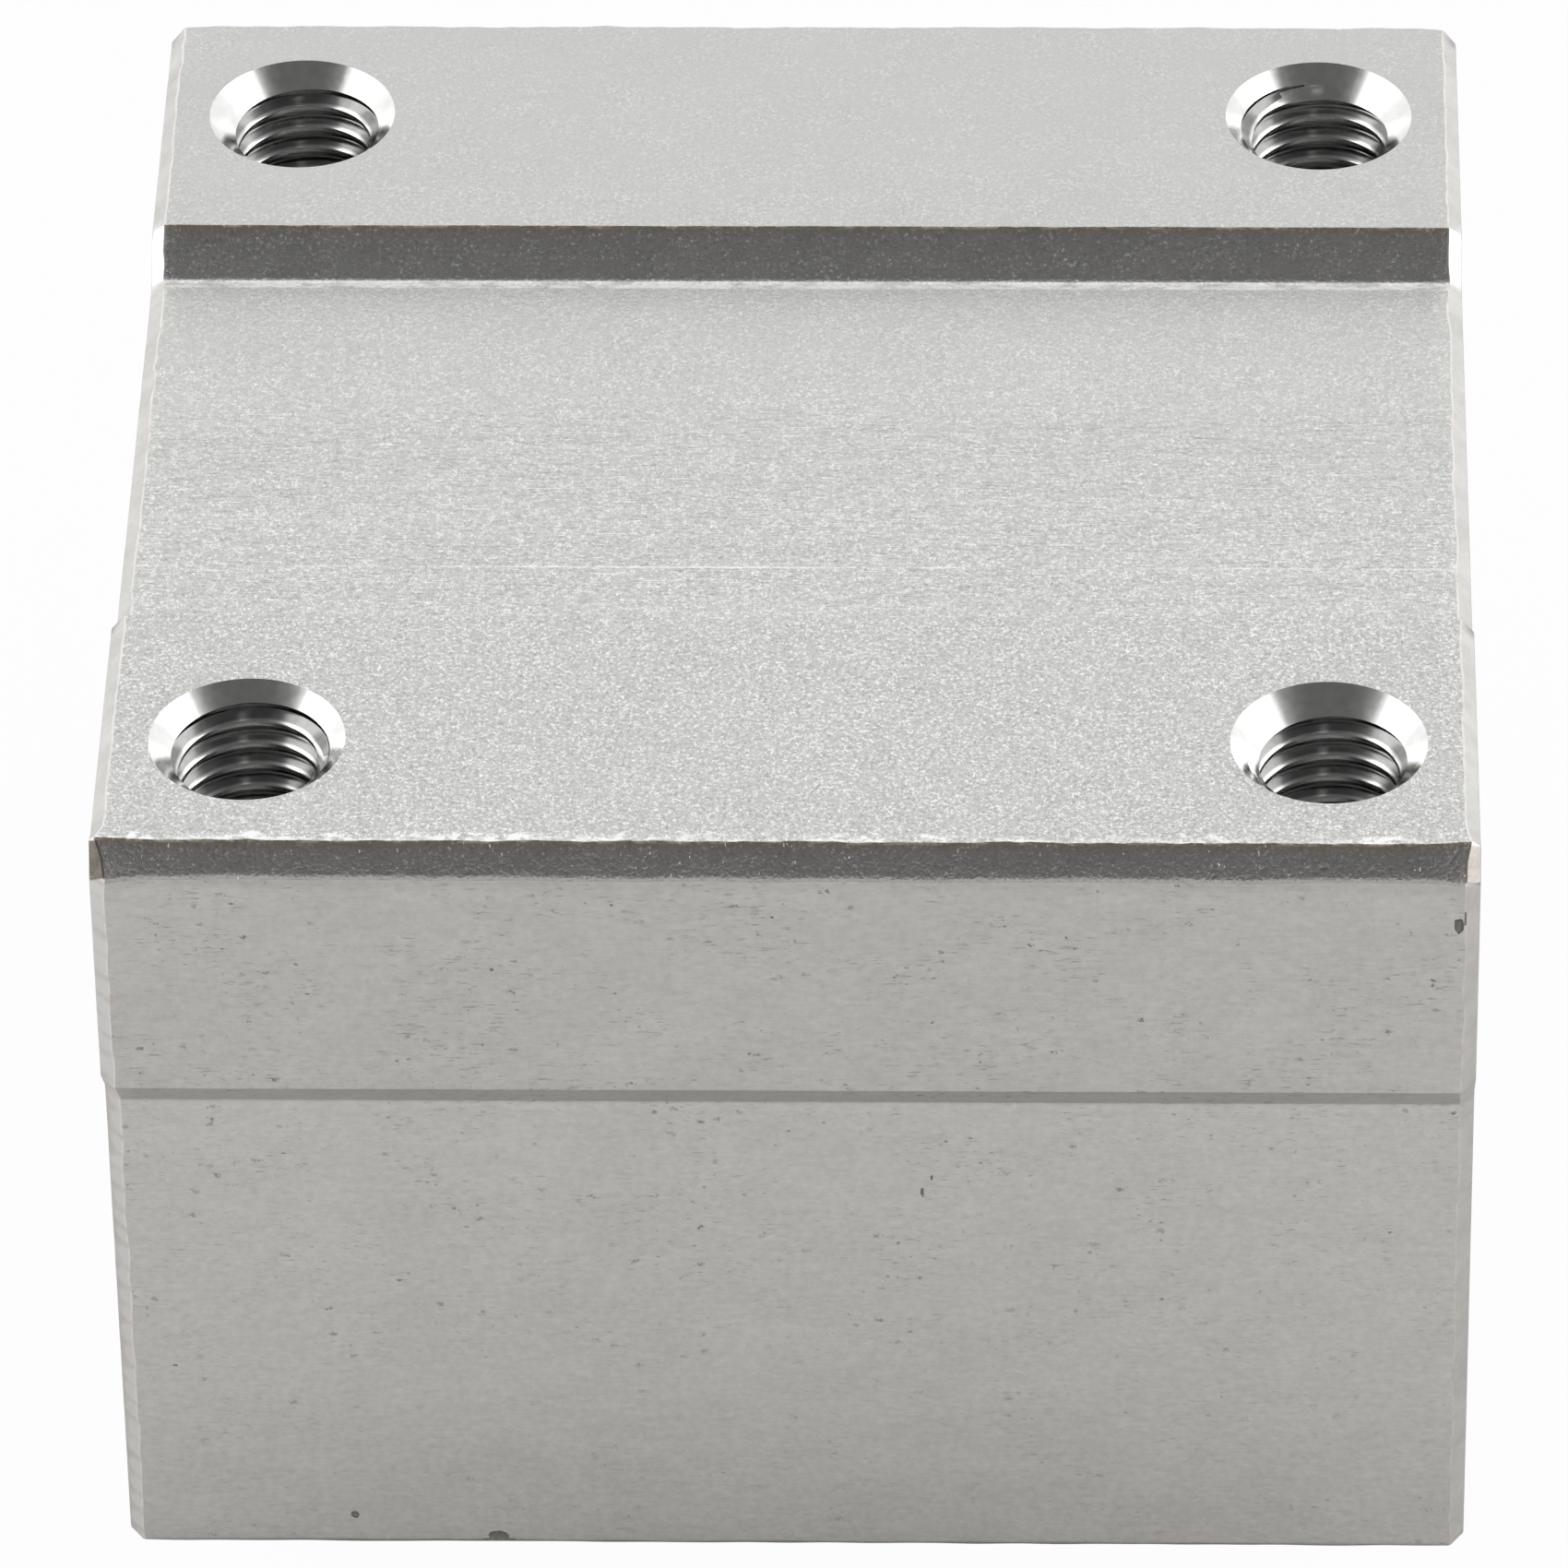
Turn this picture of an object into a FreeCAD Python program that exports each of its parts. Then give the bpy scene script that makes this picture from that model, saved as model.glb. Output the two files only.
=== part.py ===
import FreeCAD, Part
import math
import os

import Sketcher

# Linear bearing block for a 20 mm shaft, in millimetres.
# X runs along the shaft, +Z points out of the mounting face, and the origin
# lies on the shaft's axis in the middle of the block.

doc = FreeCAD.newDocument("linear_bearing_block")
sheet = doc.addObject("Spreadsheet::Sheet", "sizes")

DRIVING_SIZES = (
    # ball bushing
    ("shaft_diameter", 20.0),
    ("ball_diameter", 3.175),
    ("ball_lift", 1.1625),
    ("relief_gap", 0.1125),
    ("sleeve_wall", 1.55),
    ("bushing_length", 42.0),
    ("circuit_count", 5),
    ("sleeve_chamfer", 0.5),
    ("sleeve_groove_depth", 0.75),
    ("sleeve_groove_width", 1.6),
    ("sleeve_groove_span", 30.5),
    ("raceway_gap", 0.005),
    ("land_angle", 16.0),
    ("ball_gap", 0.01),
    ("track_gap", 0.035),
    ("cage_bore_gap", 0.4),
    ("cage_fit", 0.08),
    ("cage_end_wall", 1.0),
    ("cage_chamfer", 0.3),
    ("cage_end_play", 0.1),
    # seals and snap rings in the sleeve
    ("seal_thickness", 1.6),
    ("seal_fit", 0.02),
    ("seal_lip_gap", 0.02),
    ("seal_lip_width", 0.5),
    ("seal_lip_depth", 1.4),
    ("ring_inset", 0.8),
    ("ring_thickness", 0.9),
    ("ring_play", 0.1),
    ("ring_depth", 0.75),
    ("ring_width", 1.6),
    ("ring_fit", 0.05),
    ("ring_opening", 20.0),
    # block
    ("bushing_fit", 0.01),
    ("bore_chamfer", 0.5),
    ("top_wall", 5.0),
    ("boss_wall", 4.0),
    ("boss_rise", 6.0),
    ("boss_face_width", 18.0),
    ("flange_depth", 11.0),
    ("side_inset", 1.4),
    ("step_drop", 1.66),
    ("step_round", 0.25),
    ("lower_edge_chamfer", 0.5),
    ("top_edge_chamfer", 1.0),
    ("channel_width", 25.0),
    ("channel_depth", 1.55),
    ("channel_round", 0.4),
    ("end_bevel", 0.55),
    ("hole_diameter", 5.2),
    ("hole_web", 1.4),
    ("hole_side_margin", 7.0),
    ("hole_end_margin", 5.5),
    ("countersink_width", 7.3),
    ("countersink_angle", 90.0),
    # circlips in the block
    ("clip_thickness", 1.2),
    ("clip_play", 0.1),
    ("clip_groove_depth", 0.85),
    ("clip_end_wall", 3.2),
    ("clip_fit", 0.05),
    ("clip_width", 3.0),
    ("clip_taper", 0.6),
    ("clip_lug_radius", 2.4),
    ("clip_lug_reach", 5.2),
    ("clip_lug_angle", 15.0),
    ("clip_lug_hole", 2.5),
    ("clip_opening", 2.6),
)

for row, (alias, number) in enumerate(DRIVING_SIZES, 1):
    sheet.set(f"A{row}", alias)
    sheet.set(f"B{row}", str(number))
    sheet.setAlias(f"B{row}", alias)
doc.recompute()


derived = doc.addObject("App::VarSet", "derived")

DERIVED_SIZES = (
    # ball bushing, from the shaft outwards
    ("shaft_r", "sizes.shaft_diameter / 2"),
    ("ball_r", "sizes.ball_diameter / 2"),
    ("load_r", "derived.shaft_r + derived.ball_r"),
    ("return_r", "derived.load_r + sizes.ball_lift"),
    ("row_spacing", "sqrt(derived.return_r ^ 2 - derived.load_r ^ 2)"),
    ("track_r", "derived.ball_r + sizes.track_gap"),
    ("raceway_r", "derived.shaft_r + sizes.ball_diameter + sizes.raceway_gap"),
    ("relief_r", "derived.return_r + derived.ball_r + sizes.relief_gap"),
    ("bushing_r", "derived.relief_r + sizes.sleeve_wall"),
    ("ring_groove_r", "derived.raceway_r + sizes.ring_depth"),
    # ball bushing, from its end inwards
    ("bushing_end", "sizes.bushing_length / 2"),
    ("ring_out", "derived.bushing_end - sizes.ring_inset"),
    ("ring_in", "derived.ring_out - sizes.ring_thickness - sizes.ring_play"),
    ("seal_in", "derived.ring_in - sizes.seal_thickness"),
    ("cage_end", "derived.seal_in - sizes.cage_end_play"),
    ("track_end", "derived.cage_end - sizes.cage_end_wall"),
    ("turn_x", "derived.track_end - derived.track_r - derived.row_spacing / 2"),
    ("relief_end", "derived.track_end + sizes.relief_gap"),
    # block
    ("bore_r", "derived.bushing_r + sizes.bushing_fit"),
    ("clip_groove_r", "derived.bore_r + sizes.clip_groove_depth"),
    ("clip_groove_end", "derived.bushing_end + sizes.clip_thickness + sizes.clip_play"),
    ("block_end", "derived.clip_groove_end + sizes.clip_end_wall"),
    ("hole_x", "derived.block_end - sizes.hole_end_margin"),
    ("hole_y", "derived.bushing_r + sizes.hole_web + sizes.hole_diameter / 2"),
    ("flange_y", "derived.hole_y + sizes.hole_side_margin"),
    ("side_y", "derived.flange_y - sizes.side_inset"),
    ("mount_z", "derived.bushing_r + sizes.top_wall"),
    ("channel_z", "derived.mount_z - sizes.channel_depth"),
    ("channel_foot_y", "sizes.channel_width / 2 - sizes.channel_depth"),
    ("step_z", "derived.mount_z - sizes.flange_depth"),
    ("boss_z", "0 - derived.bushing_r - sizes.boss_wall"),
    ("shoulder_z", "derived.boss_z + sizes.boss_rise"),
    # circlips in the block
    ("clip_r", "derived.clip_groove_r - sizes.clip_fit"),
    ("lug_r", "derived.clip_r - sizes.clip_lug_reach + sizes.clip_lug_radius"),
    ("lug_y", "derived.lug_r * sin(sizes.clip_lug_angle * 1deg)"),
    ("lug_z", "derived.lug_r * cos(sizes.clip_lug_angle * 1deg)"),
)

for name, formula in DERIVED_SIZES:
    derived.addProperty("App::PropertyFloat", name)
    derived.setExpression(name, formula)
doc.recompute()


def value(expression):
    """The present number of an expression, in millimetres or degrees."""
    return float(sheet.evalExpression(expression))


def negative(expression):
    return f"0 - ({expression})"


def origin_feature(body, role):
    return next(item for item in body.Origin.OriginFeatures if item.Role == role)


def new_body(label):
    body = doc.addObject("PartDesign::Body", label)
    body.Label = label
    return body


def new_sketch(body, name, plane, height=None):
    """An empty sketch on one of the body's own planes, raised by height."""
    sketch = body.newObject("Sketcher::SketchObject", name)
    sketch.AttachmentSupport = [(origin_feature(body, plane), "")]
    sketch.MapMode = "FlatFace"
    if height is not None:
        sketch.setExpression("AttachmentOffset.Base.z", height)
    return sketch


def hold(sketch, kind, geometry, point, expression):
    """Fix one coordinate of a point to an expression."""
    index = sketch.addConstraint(
        Sketcher.Constraint(kind, geometry, point, value(expression))
    )
    sketch.setExpression(f"Constraints[{index}]", expression)


def hold_point(sketch, geometry, point, x, y):
    hold(sketch, "DistanceX", geometry, point, x)
    hold(sketch, "DistanceY", geometry, point, y)


def draw_outline(sketch, corners):
    """A closed outline of straight edges through corners given as expressions."""
    points = [FreeCAD.Vector(value(x), value(y), 0) for x, y in corners]
    first = sketch.GeometryCount
    count = len(points)
    for step in range(count):
        line = Part.LineSegment(points[step], points[(step + 1) % count])
        sketch.addGeometry(line, False)
    for step, (x, y) in enumerate(corners):
        following = first + (step + 1) % count
        sketch.addConstraint(
            Sketcher.Constraint("Coincident", first + step, 2, following, 1)
        )
        hold_point(sketch, first + step, 1, x, y)


def draw_circle(sketch, x, y, radius):
    centre = FreeCAD.Vector(value(x), value(y), 0)
    circle = Part.Circle(centre, FreeCAD.Vector(0, 0, 1), value(radius))
    geometry = sketch.addGeometry(circle, False)
    hold_point(sketch, geometry, 3, x, y)
    index = sketch.addConstraint(
        Sketcher.Constraint("Radius", geometry, value(radius))
    )
    sketch.setExpression(f"Constraints[{index}]", radius)


def draw_stadium(sketch, half_length, low, high):
    """Two level rows at heights low and high, joined by half circles."""
    x, y_low, y_high = value(half_length), value(low), value(high)
    middle = (y_low + y_high) / 2
    radius = (y_high - y_low) / 2
    normal = FreeCAD.Vector(0, 0, 1)
    first = sketch.GeometryCount
    corners = [FreeCAD.Vector(*at, 0) for at in ((-x, y_low), (x, y_low), (x, y_high), (-x, y_high))]
    right = Part.Circle(FreeCAD.Vector(x, middle, 0), normal, radius)
    left = Part.Circle(FreeCAD.Vector(-x, middle, 0), normal, radius)
    sketch.addGeometry(Part.LineSegment(corners[0], corners[1]), False)
    sketch.addGeometry(Part.ArcOfCircle(right, -math.pi / 2, math.pi / 2), False)
    sketch.addGeometry(Part.LineSegment(corners[2], corners[3]), False)
    sketch.addGeometry(Part.ArcOfCircle(left, math.pi / 2, 3 * math.pi / 2), False)
    for step in range(4):
        following = first + (step + 1) % 4
        sketch.addConstraint(
            Sketcher.Constraint("Coincident", first + step, 2, following, 1)
        )
    hold_point(sketch, first, 1, negative(half_length), low)
    hold_point(sketch, first, 2, half_length, low)
    hold_point(sketch, first + 2, 1, half_length, high)
    hold_point(sketch, first + 2, 2, negative(half_length), high)
    hold(sketch, "DistanceX", first + 1, 3, half_length)
    hold(sketch, "DistanceX", first + 3, 3, negative(half_length))


def revolve(body, name, sketch, kind="PartDesign::Revolution", angle=None):
    """Turn a sketch about the shaft's axis, all round or by an angle about it."""
    feature = body.newObject(kind, name)
    feature.Profile = sketch
    feature.ReferenceAxis = (origin_feature(body, "X_Axis"), [""])
    if angle is None:
        feature.Angle = 360
    else:
        feature.Midplane = True
        feature.setExpression("Angle", angle)
    return feature


def pad(body, name, sketch, length, midplane=False):
    feature = body.newObject("PartDesign::Pad", name)
    feature.Profile = sketch
    feature.Midplane = midplane
    feature.setExpression("Length", length)
    return feature


def pocket(body, name, sketch, reverse=False):
    """Cut a sketch right through the body."""
    feature = body.newObject("PartDesign::Pocket", name)
    feature.Profile = sketch
    feature.Type = "ThroughAll"
    feature.Reversed = reverse
    return feature


def around_shaft(body, name, features):
    """Repeat features once for every ball circuit."""
    pattern = body.newObject("PartDesign::PolarPattern", name)
    pattern.Originals = features
    pattern.Axis = (origin_feature(body, "X_Axis"), [""])
    pattern.Angle = 360
    pattern.setExpression("Occurrences", "sizes.circuit_count")
    body.Tip = pattern
    return pattern


def long_edges(shape, places):
    """Names of the edges along X that pass through the given (y, z) places."""
    names = []
    for number, edge in enumerate(shape.Edges, 1):
        box = edge.BoundBox
        straight = box.YLength < 1e-4 and box.ZLength < 1e-4
        if straight and any(
            abs(edge.CenterOfMass.y - y) < 1e-3 and abs(edge.CenterOfMass.z - z) < 1e-3
            for y, z in places
        ):
            names.append(f"Edge{number}")
    return names


def end_edges(shape, reach):
    """Names of the edges that lie in the two end faces."""
    return [
        f"Edge{number}"
        for number, edge in enumerate(shape.Edges, 1)
        if edge.BoundBox.XLength < 1e-4 and abs(abs(edge.CenterOfMass.x) - reach) < 1e-3
    ]


def dress(body, kind, name, edges, size_name, size):
    """A fillet or chamfer on named edges of the body's present tip."""
    base = body.Tip
    feature = body.newObject(kind, name)
    feature.Base = (base, edges)
    feature.setExpression(size_name, size)
    return feature


def mirrored(corners):
    """A half outline and its mirror image, as one closed run of corners."""
    return corners + [(negative(y), z) for y, z in reversed(corners)]


def build_housing_block():
    """The extruded block: profile, bore, circlip grooves and screw holes."""
    body = new_body("housing_block")
    half = [
        ("derived.channel_foot_y", "derived.channel_z"),
        ("sizes.channel_width / 2", "derived.mount_z"),
        ("derived.flange_y - sizes.top_edge_chamfer", "derived.mount_z"),
        ("derived.flange_y", "derived.mount_z - sizes.top_edge_chamfer"),
        ("derived.flange_y", "derived.step_z"),
        ("derived.side_y", "derived.step_z - sizes.step_drop"),
        ("derived.side_y", "derived.shoulder_z + sizes.lower_edge_chamfer"),
        ("derived.side_y - sizes.lower_edge_chamfer", "derived.shoulder_z"),
        ("sizes.boss_face_width / 2 + sizes.boss_rise", "derived.shoulder_z"),
        ("sizes.boss_face_width / 2", "derived.boss_z"),
    ]
    outline = new_sketch(body, "block_outline", "YZ_Plane")
    draw_outline(outline, mirrored(half))
    pad(body, "block_pad", outline, "2 * derived.block_end", midplane=True)
    doc.recompute()

    dress(
        body, "PartDesign::Chamfer", "sawn_end_bevels",
        end_edges(body.Tip.Shape, value("derived.block_end")), "Size", "sizes.end_bevel",
    )
    doc.recompute()

    foot_y, foot_z = value("derived.channel_foot_y"), value("derived.channel_z")
    feet = [(foot_y, foot_z), (-foot_y, foot_z)]
    dress(
        body, "PartDesign::Fillet", "channel_feet",
        long_edges(body.Tip.Shape, feet), "Radius", "sizes.channel_round",
    )
    doc.recompute()
    step_y, step_z = value("derived.flange_y"), value("derived.step_z")
    steps = [(step_y, step_z), (-step_y, step_z)]
    dress(
        body, "PartDesign::Fillet", "step_edges",
        long_edges(body.Tip.Shape, steps), "Radius", "sizes.step_round",
    )
    doc.recompute()

    bore_sketch = new_sketch(body, "bore_section", "XZ_Plane")
    chamfer_r = "derived.bore_r + sizes.bore_chamfer"
    chamfer_x = "derived.block_end - sizes.bore_chamfer"
    right_half = [
        (chamfer_x, "derived.bore_r"),
        ("derived.clip_groove_end", "derived.bore_r"),
        ("derived.clip_groove_end", "derived.clip_groove_r"),
        ("derived.bushing_end", "derived.clip_groove_r"),
        ("derived.bushing_end", "derived.bore_r"),
    ]
    left_half = [(negative(x), r) for x, r in reversed(right_half)]
    ends = [("derived.block_end", "0"), ("derived.block_end", chamfer_r)]
    draw_outline(
        bore_sketch,
        ends + right_half + left_half + [(negative(x), r) for x, r in reversed(ends)],
    )
    revolve(body, "bore_and_clip_grooves", bore_sketch, "PartDesign::Groove")
    doc.recompute()

    centres = new_sketch(body, "hole_centres", "XY_Plane", "derived.mount_z")
    for along in ("derived.hole_x", negative("derived.hole_x")):
        for across in ("derived.hole_y", negative("derived.hole_y")):
            draw_circle(centres, along, across, "sizes.hole_diameter / 2")
    doc.recompute()
    holes = body.newObject("PartDesign::Hole", "screw_holes")
    holes.Profile = centres
    doc.recompute()
    holes.DepthType = "ThroughAll"
    holes.HoleCutType = "Countersink"
    holes.setExpression("Diameter", "sizes.hole_diameter")
    holes.setExpression("HoleCutDiameter", "sizes.countersink_width")
    holes.setExpression("HoleCutCountersinkAngle", "sizes.countersink_angle")
    return body


def build_bushing_sleeve():
    """The ground steel sleeve, relieved inside except for its raceway lands."""
    body = new_body("bushing_sleeve")
    groove_out = "sizes.sleeve_groove_span / 2"
    groove_in = f"{groove_out} - sizes.sleeve_groove_width"
    groove_r = "derived.bushing_r - sizes.sleeve_groove_depth"
    right_half = [
        (groove_in, "derived.bushing_r"),
        (groove_in, groove_r),
        (groove_out, groove_r),
        (groove_out, "derived.bushing_r"),
        ("derived.bushing_end - sizes.sleeve_chamfer", "derived.bushing_r"),
        ("derived.bushing_end", "derived.bushing_r - sizes.sleeve_chamfer"),
        ("derived.bushing_end", "derived.raceway_r + sizes.sleeve_chamfer"),
        ("derived.bushing_end - sizes.sleeve_chamfer", "derived.raceway_r"),
        ("derived.ring_out", "derived.raceway_r"),
        ("derived.ring_out", "derived.ring_groove_r"),
        ("derived.ring_in", "derived.ring_groove_r"),
        ("derived.ring_in", "derived.raceway_r"),
        ("derived.relief_end", "derived.raceway_r"),
        ("derived.relief_end", "derived.relief_r"),
    ]
    left_half = [(negative(x), r) for x, r in reversed(right_half)]
    section = new_sketch(body, "sleeve_section", "XZ_Plane")
    draw_outline(section, right_half + left_half)
    revolve(body, "sleeve_turning", section)
    doc.recompute()

    land_root = "derived.relief_r + sizes.sleeve_wall / 4"
    ramp_end = f"derived.turn_x + {land_root} - derived.raceway_r"
    land_sketch = new_sketch(body, "land_section", "XZ_Plane")
    draw_outline(land_sketch, [
        ("derived.turn_x", "derived.raceway_r"),
        (ramp_end, land_root),
        (negative(ramp_end), land_root),
        (negative("derived.turn_x"), "derived.raceway_r"),
    ])
    land = revolve(body, "raceway_land", land_sketch, angle="sizes.land_angle")
    doc.recompute()
    around_shaft(body, "raceway_lands", [land])
    return body


def build_ball_cage():
    """The moulded retainer: a tube with one oval ball track per circuit."""
    body = new_body("ball_cage")
    inner = "derived.shaft_r + sizes.cage_bore_gap"
    outer = "derived.raceway_r - sizes.cage_fit"
    chamfer_x = "derived.cage_end - sizes.cage_chamfer"
    right_half = [
        (chamfer_x, outer),
        ("derived.cage_end", f"{outer} - sizes.cage_chamfer"),
        ("derived.cage_end", inner),
    ]
    section = new_sketch(body, "cage_section", "XZ_Plane")
    draw_outline(section, right_half + [(negative(x), r) for x, r in reversed(right_half)])
    revolve(body, "cage_tube", section)
    doc.recompute()

    # The track's plane touches the loaded row's cylinder, so that the other row,
    # one row spacing to the side, runs further out and carries no load.
    walls = new_sketch(body, "track_walls", "XY_Plane", "derived.load_r")
    far_wall = "derived.row_spacing + derived.track_r"
    island_wall = "derived.row_spacing - derived.track_r"
    draw_stadium(walls, "derived.turn_x", negative("derived.track_r"), far_wall)
    draw_stadium(walls, "derived.turn_x", "derived.track_r", island_wall)
    slot = pocket(body, "track_slot", walls, reverse=True)
    doc.recompute()

    path = new_sketch(body, "track_path", "XY_Plane", "derived.load_r")
    draw_stadium(path, "derived.turn_x", "0", "derived.row_spacing")
    ball_section = new_sketch(body, "track_section", "YZ_Plane")
    draw_circle(ball_section, "0", "derived.load_r", "derived.track_r")
    doc.recompute()
    floor = body.newObject("PartDesign::SubtractivePipe", "track_floor")
    floor.Profile = ball_section
    floor.Spine = (path, ["Edge1", "Edge2", "Edge3", "Edge4"])
    doc.recompute()
    around_shaft(body, "ball_tracks", [slot, floor])
    return body


def geodesic_ball(radius):
    """A ball of 80 flat facets whose corners all lie on the sphere."""
    ring_z = 1 / math.sqrt(5)
    ring_r = 2 / math.sqrt(5)

    def ring(z, turn):
        return [
            FreeCAD.Vector(
                ring_r * math.cos(math.radians(72 * step + turn)),
                ring_r * math.sin(math.radians(72 * step + turn)),
                z,
            )
            for step in range(5)
        ]

    top = FreeCAD.Vector(0, 0, 1)
    bottom = FreeCAD.Vector(0, 0, -1)
    upper = ring(ring_z, 0)
    lower = ring(-ring_z, 36)
    triangles = []
    for step in range(5):
        after = (step + 1) % 5
        triangles.append((top, upper[step], upper[after]))
        triangles.append((upper[step], lower[step], upper[after]))
        triangles.append((upper[after], lower[step], lower[after]))
        triangles.append((bottom, lower[after], lower[step]))

    def on_sphere(vector):
        return FreeCAD.Vector(vector).normalize() * radius

    faces = []
    for a, b, c in triangles:
        ab, bc, ca = a + b, b + c, c + a
        for corners in ((a, ab, ca), (ab, b, bc), (ca, bc, c), (ab, bc, ca)):
            points = [on_sphere(corner) for corner in corners]
            faces.append(Part.Face(Part.makePolygon(points + points[:1])))
    return Part.Solid(Part.makeShell(faces))


def track_point(distance):
    """Where the track's centre line is after a distance, first circuit."""
    spacing, straight = value("derived.row_spacing"), 2 * value("derived.turn_x")
    turn = math.pi * spacing / 2
    along, side = distance, -1
    if distance >= straight + turn:
        along, side = distance - straight - turn, 1
    if along < straight:
        x, y = along - straight / 2, side * spacing / 2
    else:
        angle = (along - straight) / (spacing / 2) - math.pi / 2
        x = straight / 2 + spacing / 2 * math.cos(angle)
        y = spacing / 2 * math.sin(angle)
        if side > 0:
            y = -y
    if side > 0:
        x = -x
    return FreeCAD.Vector(x, y + spacing / 2, value("derived.load_r"))


def build_ball_circuits():
    """The balls of every track, evenly spaced with no two of them touching."""
    spacing = value("derived.row_spacing")
    length = 4 * value("derived.turn_x") + math.pi * spacing
    room = value("sizes.ball_diameter + sizes.ball_gap")
    closest = spacing * math.asin(room / spacing)
    count = math.floor(length / closest)
    ball = geodesic_ball(value("derived.ball_r"))
    balls = []
    for step in range(count):
        placed = ball.copy()
        placed.translate(track_point(step * length / count))
        balls.append(placed)
    circuits = int(value("sizes.circuit_count"))
    nodes = []
    for number in range(circuits):
        node = doc.addObject("Part::Feature", f"ball_circuit_{number + 1}")
        node.Label = f"ball_circuit_{number + 1}"
        node.Shape = Part.makeCompound(balls)
        turn = FreeCAD.Rotation(FreeCAD.Vector(1, 0, 0), number * 360 / circuits)
        node.Placement = FreeCAD.Placement(FreeCAD.Vector(0, 0, 0), turn)
        nodes.append(node)
    return nodes


def place_at_end(body, side, distance):
    """Move a piece drawn at x = 0, facing +X, to one end of the bushing."""
    if side == "left":
        body.Placement = FreeCAD.Placement(
            FreeCAD.Vector(0, 0, 0), FreeCAD.Rotation(FreeCAD.Vector(0, 0, 1), 180)
        )
        body.setExpression("Placement.Base.x", negative(distance))
    else:
        body.setExpression("Placement.Base.x", distance)


def build_end_seal(side):
    """A rubber ring with a lip that tapers towards the shaft."""
    body = new_body(f"end_seal_{side}")
    outer = "derived.raceway_r - sizes.seal_fit"
    lip_r = "derived.shaft_r + sizes.seal_lip_gap"
    lip_root = f"{lip_r} + sizes.seal_lip_depth"
    lip_in = "(sizes.seal_thickness - sizes.seal_lip_width) / 2"
    lip_out = "(sizes.seal_thickness + sizes.seal_lip_width) / 2"
    section = new_sketch(body, "seal_section", "XZ_Plane")
    draw_outline(section, [
        ("0", outer),
        ("0", lip_root),
        (lip_in, lip_r),
        (lip_out, lip_r),
        ("sizes.seal_thickness", lip_root),
        ("sizes.seal_thickness", outer),
    ])
    revolve(body, "seal_ring", section)
    place_at_end(body, side, "derived.seal_in")
    return body


def build_cage_ring(side):
    """A flat snap ring, open by a small gap, in the sleeve's inner groove."""
    body = new_body(f"cage_ring_{side}")
    outer = "derived.ring_groove_r - sizes.ring_fit"
    inner = f"{outer} - sizes.ring_width"
    section = new_sketch(body, "ring_section", "XZ_Plane")
    draw_outline(section, [
        ("0", inner),
        ("sizes.ring_thickness", inner),
        ("sizes.ring_thickness", outer),
        ("0", outer),
    ])
    revolve(body, "snap_ring", section, angle="360 - sizes.ring_opening")
    place_at_end(body, side, "derived.ring_in + sizes.ring_play / 2")
    return body


def build_circlip(side):
    """An internal circlip: a ring that thins towards two drilled lugs."""
    body = new_body(f"circlip_{side}")
    ring = new_sketch(body, "ring_outline", "YZ_Plane")
    draw_circle(ring, "0", "0", "derived.clip_r")
    inner_r = "derived.clip_r - sizes.clip_width + sizes.clip_taper"
    draw_circle(ring, "0", "sizes.clip_taper", inner_r)
    pad(body, "ring_plate", ring, "sizes.clip_thickness")
    doc.recompute()

    lugs = new_sketch(body, "lug_outline", "YZ_Plane")
    for across in ("derived.lug_y", negative("derived.lug_y")):
        draw_circle(lugs, across, "derived.lug_z", "sizes.clip_lug_radius")
    pad(body, "lugs", lugs, "sizes.clip_thickness")
    doc.recompute()

    cuts = new_sketch(body, "gap_and_holes", "YZ_Plane")
    gap_side = "sizes.clip_opening / 2"
    gap_top = "derived.clip_r + sizes.clip_width"
    gap_foot = "derived.clip_r - sizes.clip_lug_reach - sizes.clip_width"
    draw_outline(cuts, [
        (gap_side, gap_foot),
        (gap_side, gap_top),
        (negative(gap_side), gap_top),
        (negative(gap_side), gap_foot),
    ])
    for across in ("derived.lug_y", negative("derived.lug_y")):
        draw_circle(cuts, across, "derived.lug_z", "sizes.clip_lug_hole / 2")
    pocket(body, "gap_and_lug_holes", cuts, reverse=True)
    place_at_end(body, side, "derived.bushing_end + sizes.clip_play / 2")
    return body


def check_document():
    """Stop if any object of the document failed to compute."""
    for item in doc.Objects:
        if "Invalid" in item.State or "Error" in item.State:
            raise RuntimeError(f"{item.Label} failed: {item.State}")


def check_shape(node):
    shape = node.Shape
    if shape.isNull() or not shape.isValid() or shape.Volume <= 0:
        raise RuntimeError(f"{node.Label} has no valid solid")


nodes = [build_housing_block(), build_bushing_sleeve(), build_ball_cage()]
nodes += build_ball_circuits()
for end in ("left", "right"):
    nodes += [build_end_seal(end), build_cage_ring(end), build_circlip(end)]
doc.recompute()
check_document()

os.makedirs("parts", exist_ok=True)
for node in nodes:
    check_shape(node)
    node.Shape.exportStep(f"parts/{node.Label}.step")
    box = node.Shape.BoundBox
    print(
        f"{node.Label}: {len(node.Shape.Solids)} solids, {node.Shape.Volume:.1f} mm3,"
        f" {box.XLength:.2f} x {box.YLength:.2f} x {box.ZLength:.2f} mm"
    )
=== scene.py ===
"""Looks of the linear bearing block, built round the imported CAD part.

X runs along the shaft, Y across it and Z up, with the origin on the shaft's axis at the middle of the block.
Lengths are in millimetres until a mesh is made.
"""

import math

import bmesh
import bpy
import numpy as np
from mathutils import Matrix, Vector, noise


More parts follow.
